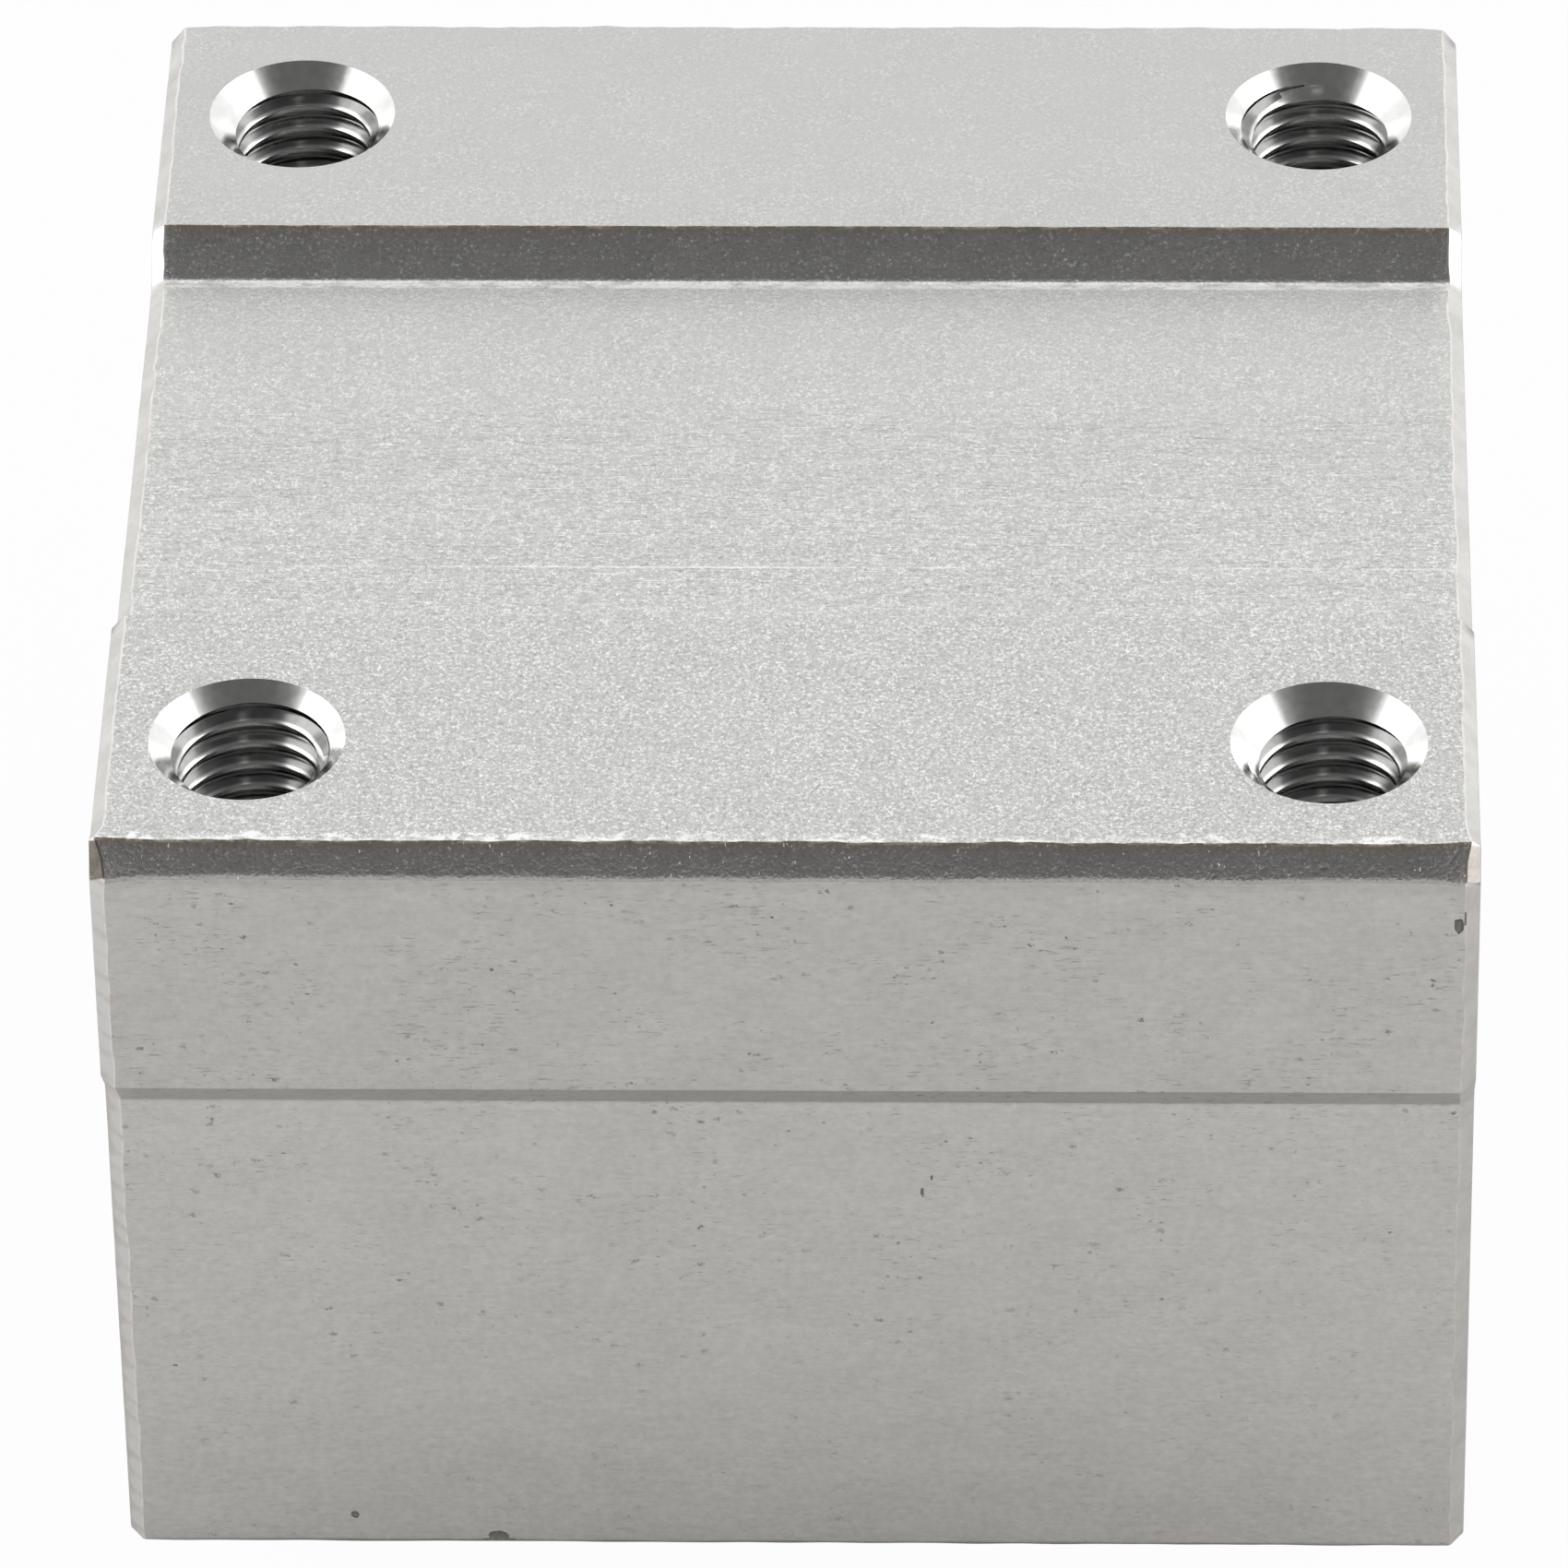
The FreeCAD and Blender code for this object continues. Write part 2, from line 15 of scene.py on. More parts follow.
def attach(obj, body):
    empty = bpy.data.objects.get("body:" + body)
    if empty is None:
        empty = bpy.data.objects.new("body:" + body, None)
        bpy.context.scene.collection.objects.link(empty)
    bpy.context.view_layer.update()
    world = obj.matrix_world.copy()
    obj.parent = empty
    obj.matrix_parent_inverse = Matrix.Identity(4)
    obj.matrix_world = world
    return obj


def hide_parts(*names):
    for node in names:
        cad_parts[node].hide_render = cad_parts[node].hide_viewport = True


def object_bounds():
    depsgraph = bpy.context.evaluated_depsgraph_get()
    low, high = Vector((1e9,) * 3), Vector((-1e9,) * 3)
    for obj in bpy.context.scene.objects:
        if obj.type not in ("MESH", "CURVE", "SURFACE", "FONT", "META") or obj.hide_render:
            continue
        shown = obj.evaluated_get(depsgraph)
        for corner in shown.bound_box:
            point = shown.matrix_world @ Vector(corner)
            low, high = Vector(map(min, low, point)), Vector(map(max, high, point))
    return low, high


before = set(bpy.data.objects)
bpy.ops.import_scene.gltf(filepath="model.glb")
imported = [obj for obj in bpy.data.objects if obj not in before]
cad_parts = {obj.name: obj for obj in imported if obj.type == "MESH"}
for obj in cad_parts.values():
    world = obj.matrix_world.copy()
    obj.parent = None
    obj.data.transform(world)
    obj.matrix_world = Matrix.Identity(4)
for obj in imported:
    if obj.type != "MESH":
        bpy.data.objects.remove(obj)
cad_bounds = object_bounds()

MM = 0.001

# Half length, half width, top and foot of the block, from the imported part's box
(_, _, BOSS_Z), (BLOCK_END, FLANGE_Y, MOUNT_Z) = [[round(c / MM, 3) for c in corner] for corner in cad_bounds]

# Driving sizes of the section
CHANNEL_WIDTH = 25.0
CHANNEL_DEPTH = 1.55
CHAMFER = 1.0
FLANGE_DEPTH = 11.0
SIDE_STEP = 1.4
STEP_FALL = 1.66
SHOULDER_DEPTH = 35.0
SHOULDER_CHAMFER = 0.5
BOSS_WIDTH = 18.0
BEVEL = 0.55

# Lines of the section
CHANNEL_EDGE_Y = CHANNEL_WIDTH / 2
CHANNEL_FOOT_Y = CHANNEL_EDGE_Y - CHANNEL_DEPTH
CHANNEL_Z = MOUNT_Z - CHANNEL_DEPTH
TOP_EDGE_Y = FLANGE_Y - CHAMFER
CHAMFER_Z = MOUNT_Z - CHAMFER
STEP_Z = MOUNT_Z - FLANGE_DEPTH
SIDE_Y = FLANGE_Y - SIDE_STEP
SIDE_TOP_Z = STEP_Z - STEP_FALL
SHOULDER_Z = MOUNT_Z - SHOULDER_DEPTH
SIDE_FOOT_Z = SHOULDER_Z + SHOULDER_CHAMFER
SHOULDER_EDGE_Y = SIDE_Y - SHOULDER_CHAMFER
BOSS_Y = BOSS_WIDTH / 2
BOSS_FOOT_Y = BOSS_Y + SHOULDER_Z - BOSS_Z

# Bore and its circlip grooves
BORE_R = 16.01
BORE_CHAMFER = 0.5
GROOVE_R = 16.86
GROOVE_IN = 21.0
GROOVE_OUT = 22.3

# Tapped holes
HOLE_X = 20.0
HOLE_Y = 20.0
DRILL_R = 2.6
THREAD_R = 3.06
SINK_R = 3.65
PITCH = 1.0
THREAD_DEPTH = 12.0
THREAD_RUN_OUT = 1.5
# How many pitches above the mounting face the thread's cutter starts
THREAD_LEAD_IN = 1.3

# How far a cutter reaches past the face that it starts from, and how far a drill stays inside the thread's wall
PAST = 1.0
DRILL_UNDER = 0.01


def xyz(points):
    return [tuple(c * MM for c in p) for p in points]


def smoothstep(low, high, value):
    t = min(max((value - low) / (high - low), 0.0), 1.0)
    return t * t * (3 - 2 * t)


def wave(position, size, seed):
    """Smooth noise from -1 to 1 along a line."""
    return noise.noise(Vector((position / size, seed * 7.31, seed * 3.17)))


def new_object(name, mesh):
    made = bpy.data.objects.new(name, mesh)
    bpy.context.scene.collection.objects.link(made)
    return made


def mesh_of(name, vertices, faces):
    """A mesh whose doubled points are joined and whose faces look outwards."""
    mesh = bpy.data.meshes.new(name)
    mesh.from_pydata(vertices, [], faces)
    work = bmesh.new()
    work.from_mesh(mesh)
    bmesh.ops.remove_doubles(work, verts=work.verts, dist=1e-7)
    bmesh.ops.recalc_face_normals(work, faces=work.faces)
    work.to_mesh(mesh)
    work.free()
    return mesh


def tube_faces(rows, columns):
    """Quads between closed rings of vertices that lie row by row, and a cap on the first and the last ring."""
    faces = []
    for row in range(rows - 1):
        for column in range(columns):
            after = (column + 1) % columns
            faces.append((row * columns + column, row * columns + after,
                          (row + 1) * columns + after, (row + 1) * columns + column))
    faces.append(tuple(range(columns)))
    faces.append(tuple(reversed(range((rows - 1) * columns, rows * columns))))
    return faces

def revolve(name, profile, steps=192):
    """A closed solid turned about the shaft's axis from (x, radius) points."""
    points = []
    for x, radius in profile:
        for step in range(steps):
            angle = 2 * math.pi * step / steps
            points.append((x, radius * math.sin(angle), radius * math.cos(angle)))
    return mesh_of(name, xyz(points), tube_faces(len(profile), steps))

# ---------------------------------------------------------------- block

# Corners of the section's right half, from the channel's foot round to the boss: y, z and radius
RIGHT_CORNERS = (
    (CHANNEL_FOOT_Y, CHANNEL_Z, 0.4),
    (CHANNEL_EDGE_Y, MOUNT_Z, 0.09),
    (TOP_EDGE_Y, MOUNT_Z, 0.09),
    (FLANGE_Y, CHAMFER_Z, 0.45),
    (FLANGE_Y, STEP_Z, 0.12),
    (SIDE_Y, SIDE_TOP_Z, 0.25),
    (SIDE_Y, SIDE_FOOT_Z, 0.2),
    (SHOULDER_EDGE_Y, SHOULDER_Z, 0.2),
    (BOSS_FOOT_Y, SHOULDER_Z, 0.5),
    (BOSS_Y, BOSS_Z, 0.3),
)
CORNERS = RIGHT_CORNERS + tuple((-y, z, r) for y, z, r in reversed(RIGHT_CORNERS))

# Which corners of the right half are edges that were dressed by hand, and how near the ends they run off
CHANNEL_EDGE, TOP_EDGE, FLANGE_EDGE, SIDE_FOOT, SHOULDER_EDGE = 1, 2, 3, 6, 7
RUN_OFF = 2.2

# The skin's mesh: spacing round the outline, steps in a rounding, the inset that the bevels are worked out from,
# and the rings between the bevels with their distance from the ends
OUTLINE_STEP = 0.62
ARC_STEPS = 4
INSET_LEVEL = 0.4
RINGS = 116
RING_INSET = 1.3


def section_points(inset):
    """The outline moved into the metal by inset, and each point's place as (corner, next corner, share between).

    The number of points is the same for every inset.
    """
    count = len(CORNERS)
    spots = [Vector((y, z)) for y, z, _ in CORNERS]
    along = [(spots[(i + 1) % count] - spots[i]).normalized() for i in range(count)]
    inward = [Vector((d.y, -d.x)) for d in along]
    starts, ends, arcs = [], [], []
    for i in range(count):
        before, after = along[i - 1], along[i]
        cross = before.x * after.y - before.y * after.x
        turn = math.atan2(cross, before.dot(after))
        share = inset * math.tan(abs(turn) / 2) * (1 if turn < 0 else -1)
        corner = spots[i] + inward[i - 1] * inset - before * share
        radius = max(CORNERS[i][2] + (-inset if turn < 0 else inset), 0.0)
        reach = radius * math.tan(abs(turn) / 2)
        start, end = corner - before * reach, corner + after * reach
        normal = inward[i - 1] * (1 if turn < 0 else -1)
        centre = start + normal * radius
        spoke = start - centre
        arc = []
        for step in range(ARC_STEPS + 1):
            angle = turn * step / ARC_STEPS
            arc.append(centre + Vector((spoke.x * math.cos(angle) - spoke.y * math.sin(angle),
                                        spoke.x * math.sin(angle) + spoke.y * math.cos(angle))))
        arcs.append(arc)
        starts.append(start)
        ends.append(end)
    points, places = [], []
    for i in range(count):
        points += arcs[i]
        places += [(i, i, 0.0)] * len(arcs[i])
        after = (i + 1) % count
        room = (spots[after] - spots[i]).length
        steps = max(round(room / OUTLINE_STEP), 2)
        for step in range(1, steps):
            share = step / steps
            points.append(ends[i].lerp(starts[after], share))
            places.append((i, after, share))
    return points, places


def corner_wander(corner, x):
    """How far a hand-dressed long edge strays from its line at x, in the flat that stays flat."""
    side = 1 if CORNERS[corner][0] > 0 else -1
    index = corner if side > 0 else len(CORNERS) - 1 - corner
    seed = corner + 1
    near_end = smoothstep(RUN_OFF, 0.0, BLOCK_END - abs(x))
    if index == CHANNEL_EDGE:
        return Vector((-side * 0.035 * wave(x, 1.1, seed), 0))
    if index == TOP_EDGE:
        rough = 0.06 * wave(x, 1.5, seed) + 0.07 * wave(x, 0.55, seed + 40)
        return Vector((side * (rough - 0.16 * near_end), 0))
    if index == FLANGE_EDGE:
        rough = 0.07 * wave(x, 3.1, seed) + 0.03 * wave(x, 1.0, seed + 40)
        return Vector((0, rough - 0.22 * near_end))
    if index in (SIDE_FOOT, SHOULDER_EDGE):
        rough = 0.05 * wave(x, 2.2, seed)
        return Vector((0, rough)) if index == SIDE_FOOT else Vector((side * rough, 0))
    return Vector((0, 0))


# For each end's bevel, the cutter's pitch, the depth of its chatter and what the near upper corner adds to the width
BEVEL_CUTS = {-1: (0.95, 0.045, -0.28), 1: (1.1, 0.015, -0.12)}
CORNER_REACH = 0.5

# How far the bevel's edges are broken, and over how much they blend into the flats
EDGE_BREAK = 0.02
EDGE_BLEND = 0.06

def bevel_width(distance, end, near_corner):
    """Width of the cut end bevel, with the cutter's chatter and the knocked corner on the near side."""
    pitch, depth, dig = BEVEL_CUTS[end]
    ripple = abs(math.sin(math.pi * distance / pitch + 0.9 * wave(distance, 6.0, 3)))
    knocked = dig * math.exp(-(near_corner / CORNER_REACH) ** 2)
    ragged = 0.06 * wave(distance, 2.6, 5 + end) + 0.075 * wave(distance, 1.2, 25 + end)
    return BEVEL - 0.04 + depth * (ripple - 0.5) + ragged + knocked


def bevel_rings(width):
    """Inset from the outline and depth behind the end for the bevel's four rings, from the end face on."""
    return ((width + EDGE_BLEND, 0), (width - EDGE_BREAK, EDGE_BREAK),
            (EDGE_BREAK, width - EDGE_BREAK), (0, width + EDGE_BLEND))

def block_skin():
    """The outside of the block as rings of the section from one end to the other."""
    outer, places = section_points(0)
    middle, _ = section_points(INSET_LEVEL)
    inner, _ = section_points(2 * INSET_LEVEL)
    travel = [0.0]
    for i in range(1, len(outer)):
        rounding = places[i][2] == 0 and places[i - 1][2] == 0
        travel.append(travel[-1] + (0 if rounding else (outer[i] - outer[i - 1]).length))
    knocked_at = next(t for t, (first, _, _) in zip(travel, places) if first == len(CORNERS) - 1 - TOP_EDGE)
    interior = np.linspace(-BLOCK_END + RING_INSET, BLOCK_END - RING_INSET, RINGS)
    rings = [(-1, k) for k in range(4)] + [(0, x) for x in interior] + [(1, k) for k in reversed(range(4))]
    points = []
    for end, spot in rings:
        for i, start in enumerate(outer):
            if end:
                width = bevel_width(travel[i], end, travel[i] - knocked_at)
                inset, depth = bevel_rings(width)[spot]
                x = end * (BLOCK_END - depth)
            else:
                inset, x = 0, spot
            first, second, share = places[i]
            stray = corner_wander(first, x)
            if second != first:
                after = corner_wander(second, x)
                both = stray.length > 0 and after.length > 0
                stray = stray.lerp(after, share) if both else Vector((0, 0))
            if inset < INSET_LEVEL:
                place = start.lerp(middle[i], inset / INSET_LEVEL) + stray
            else:
                place = middle[i].lerp(inner[i], inset / INSET_LEVEL - 1) + stray
            points.append((x, place.x, place.y))
    return mesh_of("block_skin", xyz(points), tube_faces(len(rings), len(outer)))


def bore_cutter():
    """The bore with its chamfered mouths and circlip grooves."""
    half = [
        (BLOCK_END + PAST, BORE_R + BORE_CHAMFER + PAST),
        (BLOCK_END - BORE_CHAMFER, BORE_R),
        (GROOVE_OUT, BORE_R),
        (GROOVE_OUT, GROOVE_R),
        (GROOVE_IN, GROOVE_R),
        (GROOVE_IN, BORE_R),
    ]
    profile = half + [(-x, r) for x, r in reversed(half)]
    return revolve("bore_cutter", profile)


def drill_cutter(x, y, steps=96):
    """The drilled hole with its countersink."""
    profile = (
        (PAST, SINK_R + PAST),
        (DRILL_R - SINK_R - DRILL_UNDER, DRILL_R - DRILL_UNDER),
        (SHOULDER_Z - MOUNT_Z - PAST, DRILL_R - DRILL_UNDER),
    )
    points = []
    for rise, radius in profile:
        for step in range(steps):
            angle = 2 * math.pi * step / steps
            points.append((x + radius * math.cos(angle), y + radius * math.sin(angle), MOUNT_Z + rise))
    return mesh_of("drill_cutter", xyz(points), tube_faces(len(profile), steps))


# One pitch of the tapped wall: share of the pitch, share of the depth
THREAD_SHAPE = (
    (0.0, 0.0), (0.17, 0.0), (0.23, 0.12), (0.41, 0.88),
    (0.48, 1.0), (0.69, 1.0), (0.76, 0.88), (0.94, 0.12),
)


def thread_cutter(x, y, phase, steps=72):
    """The tapped groove as a solid whose rows climb with the helix."""
    turns = int(THREAD_DEPTH / PITCH) + 2
    rows = [(turn + share, deep) for turn in range(turns) for share, deep in THREAD_SHAPE]
    top = MOUNT_Z + (THREAD_LEAD_IN + phase) * PITCH
    points = []
    for along, deep in rows:
        for step in range(steps):
            angle = 2 * math.pi * step / steps
            z = top - (along + step / steps) * PITCH
            fade = 1 - smoothstep(THREAD_DEPTH - THREAD_RUN_OUT, THREAD_DEPTH, MOUNT_Z - z)
            radius = DRILL_R + (THREAD_R - DRILL_R) * deep * fade
            points.append((x + radius * math.cos(angle), y + radius * math.sin(angle), z))
    lap, count = len(THREAD_SHAPE), len(rows)
    faces = []
    for row in range(count - 1):
        for step in range(steps - 1):
            a, b = row * steps + step, (row + 1) * steps + step
            faces.append((a, a + 1, b + 1, b))
        if row + lap + 1 < count:
            a, b = row * steps + steps - 1, (row + lap) * steps
            faces.append((a, b, b + steps, a + steps))
    first = list(range(steps)) + [row * steps for row in range(lap, 0, -1)]
    last = [(count - 1) * steps + step for step in range(steps)]
    last += [row * steps + steps - 1 for row in range(count - 2, count - 2 - lap, -1)]
    for rim in (first, last):
        heights = [points[i][2] for i in rim]
        points.append((x, y, (max(heights) + min(heights)) / 2))
        middle = len(points) - 1
        for i, spot in enumerate(rim):
            faces.append((spot, rim[(i + 1) % len(rim)], middle))
    return mesh_of("thread_cutter", xyz(points), faces)


def joined(name, meshes):
    """One mesh of several that lie apart."""
    work = bmesh.new()
    for mesh in meshes:
        work.from_mesh(mesh)
    whole = bpy.data.meshes.new(name)
    work.to_mesh(whole)
    work.free()
    return whole


def cut(target, cutter):
    """Takes the cutter out of the target and removes the cutter."""
    change = target.modifiers.new("cut", "BOOLEAN")
    change.operation = "DIFFERENCE"
    change.solver = "EXACT"
    change.object = cutter
    apply_modifiers(target)
    bpy.data.objects.remove(cutter)


def weld(mesh, reach=0.0005 * MM):
    """Closes the hair-thin seams that the cuts leave."""
    work = bmesh.new()
    work.from_mesh(mesh)
    bmesh.ops.remove_doubles(work, verts=work.verts, dist=reach)
    work.to_mesh(mesh)
    work.free()


def apply_modifiers(thing):
    """Replaces the mesh by what its modifiers make of it."""
    bpy.context.view_layer.update()
    shown = thing.evaluated_get(bpy.context.evaluated_depsgraph_get())
    mesh = bpy.data.meshes.new_from_object(shown)
    thing.modifiers.clear()
    thing.data = mesh


def smooth(thing, sharp_angle=28):
    """Smooth shading between sharp edges, with normals that follow the large faces."""
    for polygon in thing.data.polygons:
        polygon.use_smooth = True
    thing.data.set_sharp_from_angle(angle=math.radians(sharp_angle))
    change = thing.modifiers.new("normals", "WEIGHTED_NORMAL")
    change.keep_sharp = True
    change.weight = 100
    apply_modifiers(thing)


# Phase of each hole's thread: where the first turn leaves the countersink
THREAD_PHASES = {(-1, -1): 0.72, (1, -1): 0.3, (-1, 1): 0.45, (1, 1): 0.05}


# Small nicks on the near side: place, size and turn about the shaft's direction
NICKS = (
    ((24.72, -27.05, 18.0), (0.2, 0.16, 0.42), 10),
    ((-11.37, -25.61, -13.33), (0.41, 0.18, 0.36), 14),
    ((19.75, -26.62, 20.49), (0.24, 0.22, 0.17), 45),
    ((-23.4, -25.7, -4.75), (0.13, 0.13, 0.1), 0),
    ((-14.8, -25.7, -0.5), (0.2, 0.13, 0.09), 25),
    ((4.95, -25.72, 4.1), (0.1, 0.15, 0.4), 15),
    ((5.3, -25.72, 4.6), (0.1, 0.15, 0.25), -15),
    ((-25.0, -26.4, 20.9), (0.5, 0.3, 0.16), 40),
    ((-16.83, -25.66, -12.19), (0.2, 0.13, 0.21), 12),
    ((9.6, -25.3, -13.9), (0.3, 0.18, 0.16), 0),
    ((21.9, -25.35, -13.8), (0.5, 0.2, 0.16), 0),
)


def nick_cutter(place, size, turn):
    """A small ragged dent."""
    work = bmesh.new()
    bmesh.ops.create_icosphere(work, subdivisions=2, radius=1.0)
    for vertex in work.verts:
        vertex.co *= 1 + 0.3 * noise.noise(vertex.co * 1.7 + Vector(place))
    scale = Matrix.Diagonal((*size, 1.0))
    move = Matrix.Translation(place) @ Matrix.Rotation(math.radians(turn), 4, "X") @ scale
    bmesh.ops.transform(work, matrix=Matrix.Scale(MM, 4) @ move, verts=work.verts)
    mesh = bpy.data.meshes.new("nick_cutter")
    work.to_mesh(mesh)
    work.free()
    return mesh


def build_block():
    """The block with its bore, tapped holes and nicks."""
    block = new_object("block_body", block_skin())
    drills = [drill_cutter(sx * HOLE_X, sy * HOLE_Y) for sx, sy in THREAD_PHASES]
    threads = [thread_cutter(sx * HOLE_X, sy * HOLE_Y, phase) for (sx, sy), phase in THREAD_PHASES.items()]
    nicks = [nick_cutter(*nick) for nick in NICKS]
    cut(block, new_object("drills", joined("drills", [bore_cutter()] + drills)))
    cut(block, new_object("threads", joined("threads", threads)))
    cut(block, new_object("nicks", joined("nicks", nicks)))
    weld(block.data)
    block.data.name = "block_body"
    return block


# ---------------------------------------------------------------- materials

class Graph:
    """Short names for the nodes of one material or world."""

    def __init__(self, owner):
        owner.use_nodes = True
        self.tree = owner.node_tree
        self.tree.nodes.clear()

    def add(self, kind, inputs=None, **settings):
        made = self.tree.nodes.new(kind)
        for name, setting in settings.items():
            setattr(made, name, setting)
        for name, given in (inputs or {}).items():
            if isinstance(given, bpy.types.NodeSocket):
                self.tree.links.new(given, made.inputs[name])
            else:
                made.inputs[name].default_value = given
        return made

    def math(self, operation, a, b=0.0):
        return self.add("ShaderNodeMath", {0: a, 1: b}, operation=operation).outputs[0]

    def vector(self, operation, a, b=(0, 0, 0)):
        made = self.add("ShaderNodeVectorMath", {0: a, 1: b}, operation=operation)
        return made.outputs["Value" if operation in ("DOT_PRODUCT", "LENGTH") else "Vector"]

    def ramp(self, value, low, high, start=0.0, end=1.0):
        """A smooth step from start at low to end at high."""
        inputs = {0: value, 1: low, 2: high, 3: start, 4: end}
        return self.add("ShaderNodeMapRange", inputs, interpolation_type="SMOOTHSTEP").outputs[0]

    def mix(self, share, a, b, blend="MIX"):
        made = self.add("ShaderNodeMix", {0: share, 6: a, 7: b}, data_type="RGBA", blend_type=blend)
        return made.outputs[2]

    def place(self):
        """The point on the surface, in millimetres of the part's frame."""
        spot = self.add("ShaderNodeTexCoord").outputs["Object"]
        return self.vector("MULTIPLY", spot, (1000, 1000, 1000))

    def parts(self, vector):
        made = self.add("ShaderNodeSeparateXYZ", {0: vector})
        return made.outputs[0], made.outputs[1], made.outputs[2]

    def noise(self, place, size, detail=2.0, roughness=0.5, stretch=(1, 1, 1), shift=0.0):
        """Noise whose blobs are about this many millimetres, stretched along the axes."""
        scale = tuple(1 / (size * s) for s in stretch)
        moved = self.vector("ADD", self.vector("MULTIPLY", place, scale), (shift, shift * 1.7, shift * 2.3))
        inputs = {"Vector": moved, "Scale": 1.0, "Detail": detail, "Roughness": roughness}
        return self.add("ShaderNodeTexNoise", inputs).outputs[0]

    def cells(self, place, size, stretch=(1, 1, 1)):
        """Scattered cells of about this many millimetres, with their colour and the distance to their middle."""
        scale = tuple(1 / (size * s) for s in stretch)
        moved = self.vector("MULTIPLY", place, scale)
        return self.add("ShaderNodeTexVoronoi", {"Vector": moved, "Scale": 1.0})

    def bump(self, height, distance, strength):
        inputs = {"Height": height, "Distance": distance * MM, "Strength": strength}
        return self.add("ShaderNodeBump", inputs).outputs[0]

    def lines(self, along, pitch, detail=2.0):
        """Noise that varies along one coordinate only."""
        inputs = {"W": self.math("DIVIDE", along, pitch), "Scale": 1.0, "Detail": detail}
        return self.add("ShaderNodeTexNoise", inputs, noise_dimensions="1D").outputs[0]

    def sum(self, start, *terms):
        """start plus each value times its weight."""
        total = start
        for value, weight in terms:
            inputs = {0: value, 1: weight, 2: total}
            total = self.add("ShaderNodeMath", inputs, operation="MULTIPLY_ADD").outputs[0]
        return total

    def times(self, first, *others):
        for other in others:
            first = self.math("MULTIPLY", first, other)
        return first

    def about(self, value, middle=0.5):
        return self.math("SUBTRACT", value, middle)

    def band(self, value, low, high, soft):
        """1 between low and high, fading to 0 over soft outside them."""
        return self.times(self.ramp(value, low - soft, low), self.ramp(value, high + soft, high))

    def tint(self, level, red, green, blue):
        """A brightness with a slight hue."""
        return self.mix(1.0, (red, green, blue, 1), level, "MULTIPLY")

    def neutral(self, level, blue=1.0):
        """A grey, with its blue part times blue."""
        cool = level if blue == 1.0 else self.math("MULTIPLY", level, blue)
        return self.add("ShaderNodeCombineColor", {0: level, 1: level, 2: cool}).outputs[0]

    def surface(self, **inputs):
        """The material's shader. Each keyword is a socket's name in lower case."""
        names = {key.replace("_", " ").title().replace("Ior", "IOR"): given for key, given in inputs.items()}
        shader = self.add("ShaderNodeBsdfPrincipled", names)
        self.add("ShaderNodeOutputMaterial", {"Surface": shader.outputs[0]})


def new_material(name):
    made = bpy.data.materials.new(name)
    return made, Graph(made)


def grey(level):
    return (level, level, level, 1)


def satin_top():
    """Blasted and anodised face, with bright grains, the drawn lines of the extrusion in the channel, and a bright
    rim along the near edge that is partly wear and partly painted highlight.
    """
    made, g = new_material("anodised_blasted")
    p = g.place()
    _, y, z = g.parts(p)
    fleck = g.noise(p, 0.16, 2, 0.6)
    fine = g.noise(p, 0.07, 2, 0.6, shift=5)
    cloud = g.noise(p, 4.0, 3, 0.6, shift=9)
    patch = g.noise(p, 1.3, 2, 0.5, shift=15)
    strength = g.sum(g.ramp(y, 24.0, -16.0, 0.25, 1.0), (g.about(patch), 0.7))
    bright = g.times(g.ramp(fleck, 0.44, 0.64), g.ramp(fine, 0.44, 0.62))
    dark = g.ramp(g.sum(0.0, (fleck, 0.4), (fine, 0.6)), 0.47, 0.36)
    dash = g.noise(p, 0.1, 2, 0.6, stretch=(16, 1.1, 1), shift=3)
    broad = g.noise(p, 0.5, 2, 0.6, stretch=(70, 1, 1), shift=11)
    floor_only = g.ramp(z, CHANNEL_Z + 0.25, CHANNEL_Z + 0.05)
    channel = g.times(floor_only, g.band(y, -9.0, 1.0, 3.5))
    drawn = g.times(g.ramp(dash, 0.52, 0.7), channel)
    broken = g.ramp(g.noise(p, 1.6, 2, 0.6, stretch=(4, 9, 9), shift=31), 0.42, 0.56)
    line = g.times(g.band(y, -7.42, -7.36, 0.05), broken, floor_only)
    patchy = g.ramp(g.noise(p, 0.4, 2, 0.6, stretch=(3, 1, 1)), 0.3, 0.6)
    foot = g.times(g.band(y, CHANNEL_FOOT_Y - 0.4, CHANNEL_FOOT_Y + 0.25, 0.12), patchy,
                   g.ramp(z, CHANNEL_Z + 0.35, CHANNEL_Z + 0.05))
    burr = g.noise(p, 0.3, 3, 0.65, stretch=(1.6, 1, 1), shift=6)
    ragged = g.sum(y, (g.about(g.noise(p, 0.9, 3, 0.6, shift=26)), 1.6))
    # A bright uneven rim along the near top edge: partly a worn burr, partly a painted highlight of the rounded
    # edge.
    rim_patches = g.ramp(g.noise(p, 3.2, 2, 0.6, shift=33), 0.42, 0.6, 0.35, 1.0)
    wear_and_rim_highlight = g.times(rim_patches, g.ramp(ragged, 0.45 - TOP_EDGE_Y, 0.15 - TOP_EDGE_Y),
                       g.ramp(y, 0.8 - TOP_EDGE_Y, 0.4 - TOP_EDGE_Y), g.ramp(burr, 0.42, 0.6))
    level = g.sum(0.613, (g.times(bright, strength), 0.43), (g.times(dark, strength), -0.2),
                  (g.about(cloud), 0.05), (floor_only, 0.028), (drawn, 0.2),
                  (g.times(g.about(broad), channel), 0.12), (line, 0.22), (foot, 0.3), (wear_and_rim_highlight, 0.6))
    height = g.sum(0.0, (fleck, 1.0), (fine, 0.5), (drawn, 0.6))
    rough = g.sum(0.4, (g.about(fleck), 0.2), (bright, -0.1))
    g.surface(base_color=g.tint(level, 1.0, 0.998, 0.975), metallic=1.0, roughness=rough,
              normal=g.bump(height, 0.03, 0.8))
    return made


